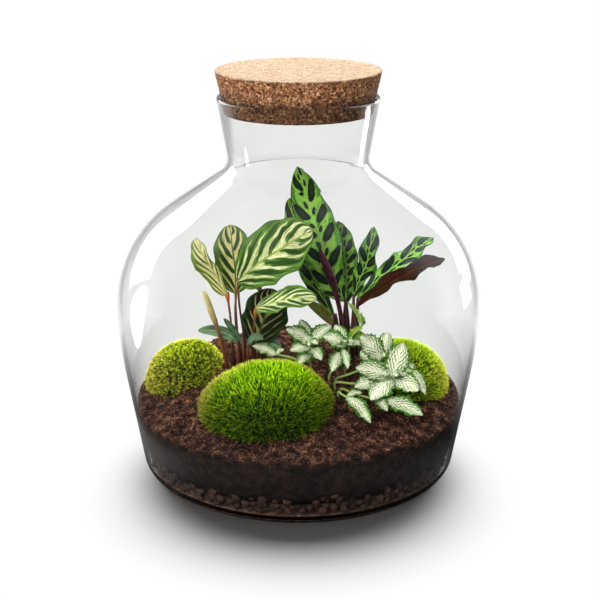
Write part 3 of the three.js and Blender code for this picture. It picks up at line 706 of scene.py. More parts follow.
def icosahedron():
    golden = (1 + 5 ** 0.5) / 2
    corners = [
        (-1, golden, 0), (1, golden, 0), (-1, -golden, 0), (1, -golden, 0),
        (0, -1, golden), (0, 1, golden), (0, -1, -golden), (0, 1, -golden),
        (golden, 0, -1), (golden, 0, 1), (-golden, 0, -1), (-golden, 0, 1),
    ]
    faces = [
        (0, 11, 5), (0, 5, 1), (0, 1, 7), (0, 7, 10), (0, 10, 11), (1, 5, 9), (5, 11, 4), (11, 10, 2),
        (10, 7, 6), (7, 1, 8), (3, 9, 4), (3, 4, 2), (3, 2, 6), (3, 6, 8), (3, 8, 9), (4, 9, 5), (2, 4, 11),
        (6, 2, 10), (8, 6, 7), (9, 8, 1),
    ]
    return unit(np.array(corners, float)), faces


def joinTo(piece, meshes):
    # adds meshes to a piece, with their materials and attributes
    made = [piece, *(newObject("holder", mesh) for mesh in meshes)]
    chosen = {"selected_objects": made, "selected_editable_objects": made}
    with bpy.context.temp_override(active_object=piece, object=piece, **chosen):
        bpy.ops.object.join()


def makeSoil():
    damp, fibre = soilMaterial(), fibreMaterial()
    sectors, rings, clear = soil["sectors"], soil["rings"], planting["clearance"]
    edge = insideRadius(planting["soilEdge"]) - clear
    angles = [2 * math.pi * sector / sectors for sector in range(sectors)]
    points, tones = [(0, 0, soilHeight(0, 0))], [1.0]
    for ring in range(1, rings + 1):
        for angle in angles:
            radius = edge * (ring / rings) ** 0.9
            height = soilHeight(radius * math.cos(angle), radius * math.sin(angle))
            if ring == rings:
                radius = insideRadius(height) - clear
            points.append((radius * math.cos(angle), radius * math.sin(angle), height))
            tones.append(1.0)
    low = planting["pebbleTop"] - 3
    rim = points[-sectors:]
    for step, share in enumerate(np.linspace(0, 1, soil["sideRings"] + 1)[1:]):
        for angle, (_, _, top) in zip(angles, rim):
            z = top * (1 - share) + low * share
            rough = 0.5 * abs(noise.noise(Vector((40 * math.cos(angle), 40 * math.sin(angle), z * 0.4))))
            # the pebbles stand before its foot
            behind = max(0.0, planting["pebbleTop"] + 3 + 2 * math.sin(angle * 17) - z)
            radius = insideRadius(z) - clear - rough - min(behind, soil["recess"])
            points.append((radius * math.cos(angle), radius * math.sin(angle), z))
            tones.append(0.35 if step == 0 else 0.0)
    points.append((0, 0, low))
    tones.append(0.0)
    faces = ringFaces(rings + soil["sideRings"], sectors, downwards=True)
    piece = meshObject("pottingSoil", [part(points, faces, 0, tone=np.array(tones))], [damp])
    topFaces = [face for face in faces if all(corner <= (rings - 1) * sectors for corner in face)]
    top = meshObject("soilTop", [part(points, topFaces, 0)], [damp])
    corners, sides = icosahedron()
    crumb = [part(corners * soil["crumbShape"], sides, 0, tone=1.0)]
    crumbs = scatterOn(top, "scatterCrumbs", crumb, damp, soil["crumbs"], {
        "Smallest": 0.4 * soil["crumbSize"], "Largest": 1.5 * soil["crumbSize"], "Lean": 1.5,
        "Ragged": 0.8 * mm, "Seed": soil["seed"],
    })
    long = soil["fibreLength"]
    bow = [
        (long * (k - 0.5), 0.12 * long * math.sin(3 * k), 0.3 + 0.16 * long * math.sin(math.pi * k))
        for k in np.linspace(0, 1, 5)
    ]
    strand = [tube(bow, [soil["fibreThick"]] * len(bow), 3, 0)]
    fibres = scatterOn(top, "scatterFibres", strand, fibre, soil["fibres"], {
        "Smallest": 0.4, "Largest": 1.2, "Lean": 0.35, "Ragged": 1.2 * mm, "Seed": soil["seed"] + 1,
    })
    bpy.data.objects.remove(top)
    joinTo(piece, [crumbs, fibres])
    settle(piece, "potting_soil")


makeSoil()
print("soil crumbled")


# Moss cushions
cushions = [
    {"name": "mossFront", "node": "moss_cushion_front", "slot": "moss", "at": (-23, -62), "reach": (50, 44),
     "height": 30, "shoots": 7800, "length": 5.6, "leaves": 3, "spread": 0.2, "clump": 7.0,
     "clumpHeight": 1.1, "lean": 0.45, "seed": 21, "colours": ("#040A01", "#4C9800", "#BCE014", "#CEC84C"),
     "edgeFrom": 0.65, "youngAt": (4, -18), "shade": (0.55, 1.9), "ramp": 2.0, "vigour": (0.7, 1.25)},
    {"name": "mossLeft", "node": "moss_cushion_left", "slot": "olive_moss", "at": (-88, 3),
     "reach": (33, 35), "height": 27, "shoots": 2700, "length": 3.9, "leaves": 7, "spread": 0.34,
     "clump": 5.0, "clumpHeight": 2.4, "lean": 0.8, "seed": 22,
     "colours": ("#0E1202", "#86A00E", "#C4D032", "#D2CA4E"), "edgeFrom": 0.4, "youngAt": (6, -8),
     "shade": (1.9, 1.6), "ramp": 1.0, "vigour": (0.65, 1.3)},
    {"name": "mossRight", "node": "moss_cushion_right", "slot": "moss", "at": (82, -5), "reach": (35, 38),
     "height": 28, "shoots": 5000, "length": 4.4, "leaves": 3, "spread": 0.22, "clump": 6.0,
     "clumpHeight": 1.2, "lean": 0.45, "seed": 23, "colours": ("#0A1402", "#7AA40C", "#C6DE30", "#CEC84A"),
     "edgeFrom": 0.5, "youngAt": (-4, -10), "shade": (2.7, 1.5), "ramp": 1.0, "vigour": (0.75, 1.25)},
]
mossSink = 4


def mossMaterial(cushion):
    # live cushion moss: fine leafy shoots, dark and damp at their feet, whose near black also paints the
    # shade among the shoots, with fresh pale green tips
    material, add = newMaterial("live" + cushion["name"][0].upper() + cushion["name"][1:])
    place = add("place")
    lot = add("attribute", attribute_name="lot")
    tip = add("attribute", attribute_name="tone")
    dark, mid, light, edge = cushion["colours"]
    x, y = cushion["at"]
    wide, deep = cushion["reach"]
    youngX, youngY = cushion["youngAt"]
    middle = ((x + youngX) * mm, (y + youngY) * mm, 0)
    centred = add("vectors", [place, middle], operation="SUBTRACT")
    size = (wide * mm, deep * mm, 1)
    squashed = add("vectors", [centred, size], operation="DIVIDE")
    flat = add("vectors", [squashed, (1, 1, 0)], operation="MULTIPLY")
    out = add("vectors", [flat], output=1, operation="LENGTH")
    patch = add("noise", [place, 1 / (12 * mm), 3.0])
    ripe = add("MULTIPLY_ADD", [patch, 0.9, out])
    # the shoots' near-black feet: partly their own dark stems, partly painted shade among the shoots
    grown = add("ramp", [tip, 0.05, 0.85])
    fresh = paint(add, mid, [(lot, 0.1, 1.0, 1.0, light), (ripe, cushion["edgeFrom"] + 0.45, 1.6, 0.8, edge)])
    skin = add("blend", [grown, dark, fresh])
    # painted light and shade by height: the value runs from the cushion's low to its high number between its
    # foot and its top
    height = add("axes", [place], output=2)
    ground = moundHeight(x, y)
    low, high = cushion["shade"]
    foot = ground - mossSink
    risen = add("ramp", [height, foot * mm, (ground + cushion["height"] - mossSink) * mm])
    risen = add("POWER", [risen, cushion["ramp"]])
    value = add("MULTIPLY_ADD", [risen, high - low, low])
    vigour = add("ramp", [lot, 0.0, 1.0, *cushion["vigour"]])
    value = add("MULTIPLY", [value, vigour])
    skin = add("brighter", [value, skin])
    return finished(material, add, {
        "Base Color": skin, "Roughness": 0.6, "Specular IOR Level": 0.12,
    })


def seatOf(x, y):
    step = 12
    slopeX = (moundHeight(x + step, y) - moundHeight(x - step, y)) / (2 * step)
    slopeY = (moundHeight(x, y + step) - moundHeight(x, y - step)) / (2 * step)
    normal = Vector((-slopeX, -slopeY, 1)).normalized()
    turn = Vector((0, 0, 1)).rotation_difference(normal).to_matrix().to_4x4()
    return Matrix.Translation(Vector((x, y, moundHeight(x, y))) - normal * mossSink) @ turn


def cushionBody(cushion, rings=36, sectors=108):
    reach, height, seat = cushion["reach"], cushion["height"], np.array(seatOf(*cushion["at"]))
    inset = 0.55 * cushion["length"]
    points, tones = [], []

    def place(out, angle):
        seed = cushion["seed"]
        swell = 1 - 0.015 * (2 + math.sin(angle * 3 + seed) + math.sin(angle * 7 + 2 * seed))
        x = (reach[0] - inset) * out * swell * math.cos(angle)
        y = (reach[1] - inset) * out * swell * math.sin(angle)
        z = (height - inset) * (1 - out ** 2.4) ** 0.55
        spot = Vector((x, y, z)) / cushion["clump"] + Vector((seed, 0, 0))
        near = noise.voronoi(spot)[0][0]
        lift = cushion["clumpHeight"] * (0.5 - near) * (1 if out < 1 else 0)
        scale = 1 + lift / max(8, math.sqrt(x * x + y * y + z * z))
        points.append((x * scale, y * scale, z * scale))
        tones.append(max(0.0, 0.35 - 0.5 * near))

    place(0, 0)
    for ring in range(1, rings + 1):
        out = math.sin(ring / rings * math.pi / 2)
        for sector in range(sectors):
            place(out, 2 * math.pi * sector / sectors)
    points.append((0, 0, 0))
    tones.append(0.0)
    points = np.array(points) @ seat[:3, :3].T + seat[:3, 3]
    return part(points, ringFaces(rings, sectors, downwards=True), 0, tone=np.array(tones))


def mossShoot(length, leaves, wide):
    # one leafy tip: a slim stem with narrow leaves that spread from it, each a closed three-sided point
    def point(foot, tip, width, footTone, tipTone):
        foot, tip = np.array(foot, float), np.array(tip, float)
        along = unit(tip - foot)
        across = unit(np.cross(along, (0.2, 0.3, 0.93) if abs(along[2]) < 0.9 else (1, 0, 0)))
        other = np.cross(along, across)
        turns = [math.radians(a) for a in (0, 120, 240)]
        corners = [foot + width * (math.cos(a) * across + math.sin(a) * other) for a in turns] + [tip]
        tones = np.array([footTone] * 3 + [tipTone])
        return part(corners, [(0, 1, 3), (1, 2, 3), (2, 0, 3), (2, 1, 0)], 0, tone=tones)

    made = [point((0, 0, -0.12 * length), (0, 0, 0.95 * length), 0.045 * length, 0.0, 1.0)]
    for index in range(leaves):
        angle, rise = index * goldenTurn, index / (leaves - 1)
        spread = (1 - 0.6 * rise) * wide * length
        tip = (spread * math.cos(angle), spread * math.sin(angle), (0.42 + 0.56 * rise) * length)
        foot = (0, 0, (0.1 + 0.4 * rise) * length)
        made.append(point(foot, tip, 0.04 * length, 0.05 + 0.2 * rise, 0.7 + 0.3 * rise))
    return made


def makeCushion(cushion):
    material = mossMaterial(cushion)
    dome = cushionBody(cushion)
    piece = meshObject(cushion["name"], [dome], [material])
    above = [z > moundHeight(x, y) - 1.5 for x, y, z in dome["points"]]
    bare = [face for face in dome["faces"] if all(above[corner] for corner in face)]
    skin = meshObject("mossSkin", [part(dome["points"], bare, 0, tone=dome["tones"])], [material])
    shoot = mossShoot(cushion["length"], cushion["leaves"], cushion["spread"])
    shoots = scatterOn(skin, "grow" + cushion["name"], shoot, material, cushion["shoots"], {
        "Smallest": 0.7, "Largest": 1.15, "Lean": cushion["lean"], "Ragged": 0.25 * mm,
        "Seed": cushion["seed"],
    })
    bpy.data.objects.remove(skin)
    joinTo(piece, [shoots])
    settle(piece, cushion["node"])


for cushion in cushions:
    makeCushion(cushion)
print("moss grown")


# Leaves: where the solids hold them, with finer outlines, waves, ribs and a thin edge
outlines = {"broad": (0.55, 0.55), "lance": (0.7, 0.6), "nerve": (0.6, 0.72)}
leafSkin = {"middle": 0.3, "edge": 0.1, "keel": 0.45, "keelWidth": 0.8}


def bladePart(leaf, rows=44, columns=20, slots=(0, 1), tone=0.0):
    # an upper and a lower skin joined round the margin; across runs from -1 to 1
    along = np.linspace(0, 1, rows + 1)
    middle = curvePoints(leaf["spine"], along)
    tangent = unit(np.gradient(middle, axis=0))
    side = unit(np.cross(tangent, unit(np.array(leaf["face"], float))))
    normal = unit(np.cross(side, tangent))
    base, tip = outlines[leaf.get("outline", "lance")]
    widest = base / (base + tip)
    spread = (along / widest) ** base * ((1 - along) / (1 - widest)) ** tip
    toothCount, toothDepth = leaf.get("teeth", (0, 0))
    notch = 1 - toothDepth * np.abs(np.sin(math.pi * toothCount * along))
    width = np.maximum(np.where(along < 0.05, 0.6, 0.12), leaf["half"] * spread * notch)
    across = np.linspace(-1, 1, columns + 1)
    lag = np.where(across < 0, 0.9, 0)
    height, count = leaf.get("wave", (0, 0))
    t, s = along[:, None], across[None, :]
    ripple = height * spread[:, None] * s ** 2 * np.sin(2 * math.pi * count * t + lag)
    frill = 0.25 * height * spread[:, None] * s ** 4 * np.sin(2 * math.pi * 2.7 * count * t + 2.3 * lag + 1)
    ribs, ribHeight, slant = leaf.get("ribs", (7, 0.35, 0.42))
    quilt = ribHeight * spread[:, None] * (1 - s ** 2) * np.cos(2 * math.pi * ribs * (t - slant * np.abs(s)))
    lift = leaf.get("cup", 0.15) * width[:, None] * s ** 2 + ripple + frill + quilt
    sway = leaf.get("sway", 0.05) * s ** 2 * np.sin(2 * math.pi * 1.3 * count * t + 2.6 * lag)
    thick = leafSkin["middle"] + (leafSkin["edge"] - leafSkin["middle"]) * s ** 2
    keel = leafSkin["keel"] * np.exp(-(s * width[:, None] / leafSkin["keelWidth"]) ** 2) * (1 - 0.8 * t)
    points, uvs = [], []
    for level in (-thick - keel, thick):
        skin = middle[:, None, :] + side[:, None, :] * (width[:, None] * s * (1 + sway))[:, :, None]
        points.append(skin + normal[:, None, :] * (lift + level)[:, :, None])
        uvs.append(np.stack(np.broadcast_arrays(t, (s + 1) / 2), axis=-1))
    stride = columns + 1
    high = (rows + 1) * stride  # the upper skin's points come after the lower skin's
    faces, worn = [], []
    for row in range(rows):
        for column in range(columns):
            a = row * stride + column
            faces.append((high + a, high + a + 1, high + a + stride + 1, high + a + stride))
            faces.append((a, a + stride, a + stride + 1, a + 1))
            worn += slots
        left, right = row * stride, row * stride + columns
        faces.append((right, right + stride, high + right + stride, high + right))
        faces.append((high + left, high + left + stride, left + stride, left))
        worn += [slots[0]] * 2
    for column in range(columns):
        start, end = column, rows * stride + column
        faces.append((start, start + 1, high + start + 1, high + start))
        faces.append((high + end, high + end + 1, end + 1, end))
        worn += [slots[0]] * 2
    flat = np.concatenate([level.reshape(-1, 3) for level in points])
    return part(flat, faces, worn, np.concatenate([level.reshape(-1, 2) for level in uvs]), tone)


def leafPlace(add):
    # how far along the midrib, how far out to the margin, and which side of the midrib
    flat = add("ShaderNodeUVMap", uv_map="alongAcross")
    along, across, _ = add("axes", [flat]).node.outputs
    centred = add("MULTIPLY_ADD", [across, 2.0, -1.0])
    out = add("ABSOLUTE", [centred])
    side = add("GREATER_THAN", [centred, 0.0])
    return along, out, side


def veinNumber(add, along, out, side, look):
    # counts the side veins, which leave the midrib at a slant and lie half a step apart on its two sides
    place = add("place")
    drift = add("noise", [place, 1 / (9 * mm), 2.0])
    wander = add("MULTIPLY", [drift, look.get("wander", 0.35)])
    bent = add("MULTIPLY_ADD", [out, look.get("bend", 0.5), 1.0])
    reach = add("MULTIPLY", [out, bent])
    slanted = add("MULTIPLY_ADD", [reach, -look["slant"], along])
    counted = add("MULTIPLY_ADD", [slanted, look["count"], wander])
    return add("MULTIPLY_ADD", [side, look.get("apart", 0.5), counted])


def betweenVeins(add, vein):
    # 0 midway between two side veins and 1 on them
    cell = add("FRACT", [vein])
    offset = add("MULTIPLY_ADD", [cell, 2.0, -1.0])
    return add("ABSOLUTE", [offset])


def ovalReach(add, out, short, middle, length):
    # 0 in the middle of an oval that lies along the side veins, and 1 on its edge
    long = add("MULTIPLY_ADD", [out, 1 / length, -middle / length])
    squared = add("MULTIPLY", [long, long])
    return add("MULTIPLY_ADD", [short, short, squared])


def brushed(add, vein, out, side, fine, long):
    # strokes that run along the side veins: quick to change across them and slow along them
    across = add("MULTIPLY", [vein, fine])
    outward = add("MULTIPLY", [out, long])
    half = add("MULTIPLY", [side, 17.0])
    spot = add("point", [across, outward, half])
    return add("noise", [spot, 1.0, 2.0, 0.6])


def leafFinished(material, add, skin, height, look):
    # the satin skin that all the leaves share, with a cloudy tone and a fine relief
    cloud = add("noise", [add("place"), 1 / (13 * mm), 4.0])
    value = add("ramp", [cloud, 0.3, 0.7, 0.78, 1.22])
    return finished(material, add, {
        "Base Color": add("brighter", [value, skin]), "Roughness": look["gloss"], "IOR": 1.42,
        "Specular IOR Level": 0.5, "Normal": add("bump", [0.45, 0.4 * mm, height]),
    })


peacockLooks = {
    "feathered": {
        "ground": "#DCDCA6", "line": "#7A942E", "stripe": "#5C8426", "dark": "#254A10", "margin": "#4A7420",
        "midrib": "#8AA240", "count": 5.0, "slant": 0.34, "feather": (0.26, 0.64),
        "oval": (0.52, 0.38, 0.40), "lines": 1.0, "wander": 0.55, "gloss": 0.3,
    },
    "spotted": {
        "ground": "#D8D288", "line": "#8A9434", "stripe": "#52781E", "dark": "#1A3E0C", "margin": "#42701A",
        "midrib": "#5A5A28", "count": 4.6, "slant": 0.34, "feather": (0.12, 0.60),
        "oval": (0.36, 0.30, 0.52), "lines": 0.8, "gloss": 0.34,
    },
    "shaded": {
        "ground": "#C2B070", "line": "#4A5A2A", "stripe": "#2E4A22", "dark": "#10190E", "margin": "#24421E",
        "midrib": "#5E5A2C", "count": 5.0, "slant": 0.38, "feather": (0.55, 0.80),
        "oval": (0.50, 0.42, 0.70), "lines": 0.9, "gloss": 0.32,
    },
    "yellowing": {
        "ground": "#E2DC9C", "line": "#8E9A34", "stripe": "#6A8C2A", "dark": "#34561C", "margin": "#7A7426",
        "midrib": "#B88A3A", "count": 5.0, "slant": 0.34, "feather": (0.10, 0.40),
        "oval": (0.40, 0.25, 0.30), "lines": 0.7, "gloss": 0.36,
    },
}


def peacockMaterial(name, look):
    # a prayer plant's feathered leaf: cream with green strokes, a dark feather between each two side veins,
    # and a satin skin
    material, add = newMaterial(name)
    along, out, side = leafPlace(add)
    vein = veinNumber(add, along, out, side, look)
    away = betweenVeins(add, vein)
    stroke = brushed(add, vein, out, side, 3.6, 1.3)
    hair = brushed(add, vein, out, side, 22.0, 3.5)
    rough = add("SUBTRACT", [stroke, 0.5])
    skin = paint(add, look["ground"], [(hair, 0.50, 0.62, look["lines"], look["line"])])
    narrow, wide = look["feather"]
    opening = add("step", [out, 0.0, 0.35, narrow, wide])
    closing = add("step", [out, 0.62, 1.0, 0.0, 0.75])
    half = add("ADD", [opening, closing])
    whole = add("FLOOR", [vein])
    eachVein = add("point", [whole, side])
    chance = add("ShaderNodeTexWhiteNoise", [eachVein])
    varied = add("MULTIPLY_ADD", [chance, 0.30, half])
    inside = add("SUBTRACT", [varied, away])
    ragged = add("MULTIPLY_ADD", [rough, 1.2, inside])
    feather = add("step", [ragged, 0.08, 0.22])
    skin = add("blend", [feather, skin, look["stripe"]])
    middle, length, width = look["oval"]
    short = add("MULTIPLY", [away, 1 / width])
    worn = add("MULTIPLY_ADD", [rough, 1.6, ovalReach(add, out, short, middle, length)])
    oval = add("step", [worn, 1.15, 0.85])
    deeper = add("step", [stroke, 0.53, 0.60])
    deeper = add("MULTIPLY", [deeper, feather])
    darker = add("MAXIMUM", [oval, deeper])
    skin = add("blend", [darker, skin, look["dark"]])
    margin = add("MULTIPLY_ADD", [rough, 0.2, out])
    skin = paint(add, skin, [
        (margin, 0.90, 0.98, 1.0, look["margin"]), (out, 0.96, 1.0, 1.0, look["dark"]),
        (out, 0.055, 0.02, 1.0, look["midrib"]),
    ])
    return leafFinished(material, add, skin, hair, look)


rattlesnakeLook = {
    "ground": "#86BC44", "shade": "#3E7A22", "line": "#B0D476", "oval": "#0D1B12", "core": "#223A2A",
    "margin": "#1A3415", "midrib": "#96BA60", "count": 6.4, "slant": 0.09, "bend": 0.3, "wander": 0.12,
    "apart": 0.3, "gloss": 0.3,
    # each row of ovals: shift along the veins, middle and half length across, half width along
    "rows": ((0.0, 0.50, 0.40, 0.54), (0.5, 0.17, 0.12, 0.28)),
}


def rattlesnakeMaterial(name, look):
    # a prayer plant's lance leaf: bright green, with dark ovals, large and small in turn, beside the midrib
    material, add = newMaterial(name)
    along, out, side = leafPlace(add)
    vein = veinNumber(add, along, out, side, look)
    stroke = brushed(add, vein, out, side, 3.0, 2.5)
    hair = brushed(add, vein, out, side, 18.0, 3.0)
    rough = add("SUBTRACT", [hair, 0.5])
    mottle = add("MULTIPLY_ADD", [rough, 0.5, stroke])
    outer = add("ramp", [out, 0.55, 1.0, 0.0, 0.25])
    shaded = add("ADD", [mottle, outer])
    skin = paint(add, look["ground"], [
        (shaded, 0.48, 0.72, 1.0, look["shade"]), (hair, 0.42, 0.30, 0.8, look["line"]),
    ])
    for shift, middle, length, width in look["rows"]:
        moved = add("ADD", [vein, shift])
        cell = add("FRACT", [moved])
        short = add("MULTIPLY_ADD", [cell, 2 / width, -1 / width])
        reach = ovalReach(add, out, short, middle, length)
        ragged = add("MULTIPLY_ADD", [rough, 0.7, reach])
        core = add("step", [reach, 0.0, 0.5, 0.75, 0.0])
        ink = add("blend", [core, look["oval"], look["core"]])
        skin = paint(add, skin, [(ragged, 1.08, 0.92, 1.0, ink)])
    skin = paint(add, skin, [
        (out, 0.93, 0.99, 1.0, look["margin"]), (out, 0.045, 0.015, 0.8, look["midrib"]),
    ])
    return leafFinished(material, add, skin, hair, look)


undersides = {
    "maroonUnderside": {
        "ground": "#4E1A10", "patch": "#1C0907", "midrib": "#7A3A22", "count": 6.3, "slant": 0.34,
        "gloss": 0.36,
    },
    "plumUnderside": {
        "ground": "#6B5A3C", "patch": "#3A2A22", "midrib": "#8C7C50", "count": 7.0, "slant": 0.42,
        "gloss": 0.42,
    },
    "greyGreenLeaf": {
        "ground": "#6E9068", "patch": "#2A4C38", "midrib": "#B4C49C", "count": 9.0, "slant": 0.5,
        "gloss": 0.36,
    },
    "maroonRolledLeaf": {
        "ground": "#581E34", "patch": "#260E18", "count": 3.0, "slant": 0.2, "gloss": 0.3,
    },
    "paleNerveLeaf": {
        "ground": "#B4D052", "patch": "#4E8A24", "midrib": "#D2E49A", "count": 9.0, "slant": 0.4,
        "gloss": 0.4,
    },
    "oliveYoungLeaf": {
        "ground": "#8A5A2C", "patch": "#6E9A3A", "midrib": "#9AAA54", "count": 5.0, "slant": 0.3,
        "gloss": 0.34,
    },
}


def plainLeafMaterial(name, look):
    # a leaf with no bold pattern: two near tones, in blotches and along fine side veins
    material, add = newMaterial(name)
    along, out, side = leafPlace(add)
    vein = veinNumber(add, along, out, side, look)
    place = add("place")
    fine = add("noise", [place, 1 / (5 * mm), 4.0])
    turns = add("MULTIPLY", [vein, 2 * math.pi])
    band = add("SINE", [turns])
    mottle = add("MULTIPLY_ADD", [band, 0.14, fine])
    skin = paint(add, look["ground"], [(mottle, 0.38, 0.66, 1.0, look["patch"])])
    if "midrib" in look:
        skin = paint(add, skin, [(out, 0.10, 0.03, 0.7, look["midrib"])])
    return leafFinished(material, add, skin, band, look)


nerveLook = {
    "green": "#5A9E1C", "deep": "#1A480C", "vein": "#F9FBDC", "count": 6.0, "slant": 0.45, "gloss": 0.38,
}


def nerveMaterial(name, look):
    # a nerve plant's leaf: green slits between a dense net of white veins, greener towards its toothed margin
    material, add = newMaterial(name)
    along, out, side = leafPlace(add)
    vein = veinNumber(add, along, out, side, look)
    place = add("place")
    white = add("attribute", attribute_name="tone")
    stroke = brushed(add, vein, out, side, 3.0, 4.0)
    rough = add("SUBTRACT", [stroke, 0.5])
    away = betweenVeins(add, vein)
    net = add("cells", [place, 1 / (1.9 * mm)], feature="DISTANCE_TO_EDGE")
    most = add("MULTIPLY_ADD", [white, -0.34, 0.86])
    wider = add("step", [out, 0.05, 0.75, 0.45, 1.1])
    half = add("MULTIPLY", [most, wider])
    inside = add("SUBTRACT", [half, away])
    ragged = add("MULTIPLY_ADD", [rough, 1.2, inside])
    slit = add("step", [ragged, -0.03, 0.06])
    opened = add("step", [net, 0.03, 0.09, 0.35, 1.0])
    green = add("MULTIPLY", [slit, opened])
    outward = add("MULTIPLY_ADD", [rough, 0.6, out])
    greener = add("MULTIPLY_ADD", [white, -0.35, 0.3])
    outward = add("ADD", [outward, greener])
    border = add("step", [outward, 0.74, 0.88])
    green = add("MAXIMUM", [green, border])
    rib = add("step", [out, 0.03, 0.09])
    green = add("MULTIPLY", [green, rib])
    leafy = paint(add, look["deep"], [(stroke, 0.38, 0.62, 1.0, look["green"])])
    skin = add("blend", [green, look["vein"], leafy])
    return leafFinished(material, add, skin, away, look)


stalkLooks = {
    "redBrownStalk": ("#240C0A", "#5A2A1F", "#86603C"),
    "maroonStalk": ("#220B10", "#461720", "#54342B"),
    "lightGreenStalk": ("#7E9A48", "#A2B860", "#B2C878"),
    "rolledSpear": ("#5A1610", "#7A4420", "#D6C882"),
}
jointColour = "#C4581E"


def stalkMaterial(name, look):
    # a fleshy stalk: darkest at its foot, with lengthwise fibres, and orange where it swells into its joint
    material, add = newMaterial(name)
    place = add("place")
    flat = add("ShaderNodeUVMap", uv_map="alongAcross")
    along = add("axes", [flat])
    joint = add("attribute", attribute_name="tone")
    drawn = add("vectors", [place, (1.0, 1.0, 0.15)], operation="MULTIPLY")
    fibre = add("noise", [drawn, 1 / (0.7 * mm), 3.0])
    foot, middle, top = look
    skin = paint(add, foot, [(along, 0.28, 0.66, 1.0, middle), (along, 0.66, 1.0, 1.0, top)])
    skin = add("blend", [joint, skin, jointColour])
    value = add("ramp", [fibre, 0.3, 0.7, 0.7, 1.25])
    skin = add("brighter", [value, skin])
    bump = add("bump", [0.4, 0.2 * mm, fibre])
    return finished(material, add, {
        "Base Color": skin, "Roughness": 0.42, "Specular IOR Level": 0.4, "Normal": bump,
    })


feathered = {key: peacockMaterial(key + "PeacockLeaf", look) for key, look in peacockLooks.items()}
plainLeaf = {key: plainLeafMaterial(key, look) for key, look in undersides.items()}
stalks = {key: stalkMaterial(key, look) for key, look in stalkLooks.items()}
ovalLeaf = rattlesnakeMaterial("ovalPatternedLeaf", rattlesnakeLook)
smallOvalLeaf = rattlesnakeMaterial("smallOvalPatternedLeaf", {
    **rattlesnakeLook, "count": 4.3, "slant": 0.12, "ground": "#7AAE3C",
    "rows": ((0.0, 0.50, 0.46, 0.66), (0.5, 0.17, 0.12, 0.28)),
})
netLeaf = nerveMaterial("whiteVeinedLeaf", nerveLook)

stalkSizes = {"foot": 2.2, "thin": 0.85, "taperFrom": 4, "taperTo": 24, "joint": 0.95, "jointLength": 7}
sheathSizes = {**stalkSizes, "foot": 2.9, "thin": 1.15, "taperFrom": 14, "taperTo": 40}


def stalkPoints(root, stalk, steps=40):
    ground = moundHeight(*root)
    path = [(*root, ground - planting["rootDepth"]), (*root, ground - 2), (*root, ground + 3), *stalk]
    return curvePoints(path, np.linspace(0, 1, steps + 1)), ground


def stalkPart(leaf, slot, size, sizes):
    points, ground = stalkPoints(leaf["root"], leaf["stalk"])
    taper = sizes["taperTo"] - sizes["taperFrom"]
    rise = np.clip((points[:, 2] - ground - sizes["taperFrom"]) / taper, 0, 1)
    radii = size * (sizes["foot"] + (sizes["thin"] - sizes["foot"]) * rise)
    tones = np.zeros(len(points))
    if leaf.get("joint"):
        left = np.linalg.norm(points - points[-1], axis=1)
        swell = np.exp(-((left - 3.0) / (sizes["jointLength"] / 2)) ** 2)
        radii = radii + sizes["joint"] * swell
        tones = np.clip(1.4 * swell, 0, 1)
    sides = 10
    return tube(points, radii, sides, slot, tone=np.concatenate([np.repeat(tones, sides), tones[[0, -1]]]))


# Peacock plant: root and stalk in the soil's frame, spine along the midrib, face the way the upper side looks
peacockFace = (-0.25, -0.85, 0.45)
peacockLeaves = [
    {"node": "peacock_plant_leaf_large", "look": "feathered", "root": (-43, -12), "half": 21,
     "stalk": [(-46, -12, 100), (-47, -12, 125), (-44, -14, 149)],
     "spine": [(-45, -14, 146), (-27, -22, 164), (-7, -30, 179), (10, -36, 191)], "face": peacockFace,
     "cup": 0.12, "wave": (1.5, 2.5)},
    {"node": "peacock_plant_leaf_upright", "look": "spotted", "root": (-44, -4), "half": 14.5,
     "stalk": [(-46, -4, 100), (-47, -5, 120), (-47, -6, 137)],
     "spine": [(-47, -6, 134), (-47, -3, 151), (-49, 0, 168), (-51, 4, 184)], "face": (0, -1, 0.1),
     "cup": 0.2, "wave": (1.2, 2)},
    {"node": "peacock_plant_leaf_folded", "look": "yellowing", "root": (-49, -10), "half": 9, "joint": True,
     "stalk": [(-50, -10, 100), (-51, -11, 118), (-53, -12, 137)],
     "spine": [(-53, -12, 134), (-62, -16, 154), (-69, -19, 168), (-74, -20, 181)],
     "face": (-0.5, -0.8, 0.1), "cup": 0.5, "wave": (1.5, 2)},
    {"node": "peacock_plant_leaf_back", "look": "shaded", "root": (-39, 1), "half": 10,
     "stalk": [(-42, 3, 100), (-45, 4, 125), (-45, 4, 141)],
     "spine": [(-45, 4, 140), (-41, 9, 140), (-35, 15, 135), (-30, 20, 127)], "face": (0.35, 0.1, 1),
     "cup": 0.15, "wave": (0.8, 2)},
    {"node": "peacock_plant_leaf_round", "look": "shaded", "root": (-34, -4), "half": 17,
     "stalk": [(-34, -5, 88), (-32, -7, 97)],
     "spine": [(-33, -6, 93), (-27, -9, 111), (-23, -9, 125), (-19, -6, 138)], "face": (0.1, -1, 0.1),
     "cup": 0.12, "wave": (1, 2)},
    {"node": "peacock_plant_leaf_forward", "look": "feathered", "root": (-34, -14), "half": 12,
     "joint": True, "stalk": [(-34, -15, 97), (-33, -17, 112), (-31, -22, 128)],
     "spine": [(-32, -21, 127), (-17, -30, 135), (-3, -38, 141), (13, -46, 143)],
     "face": (-0.2, -0.45, 0.85), "cup": 0.12, "wave": (1.2, 2)},
]
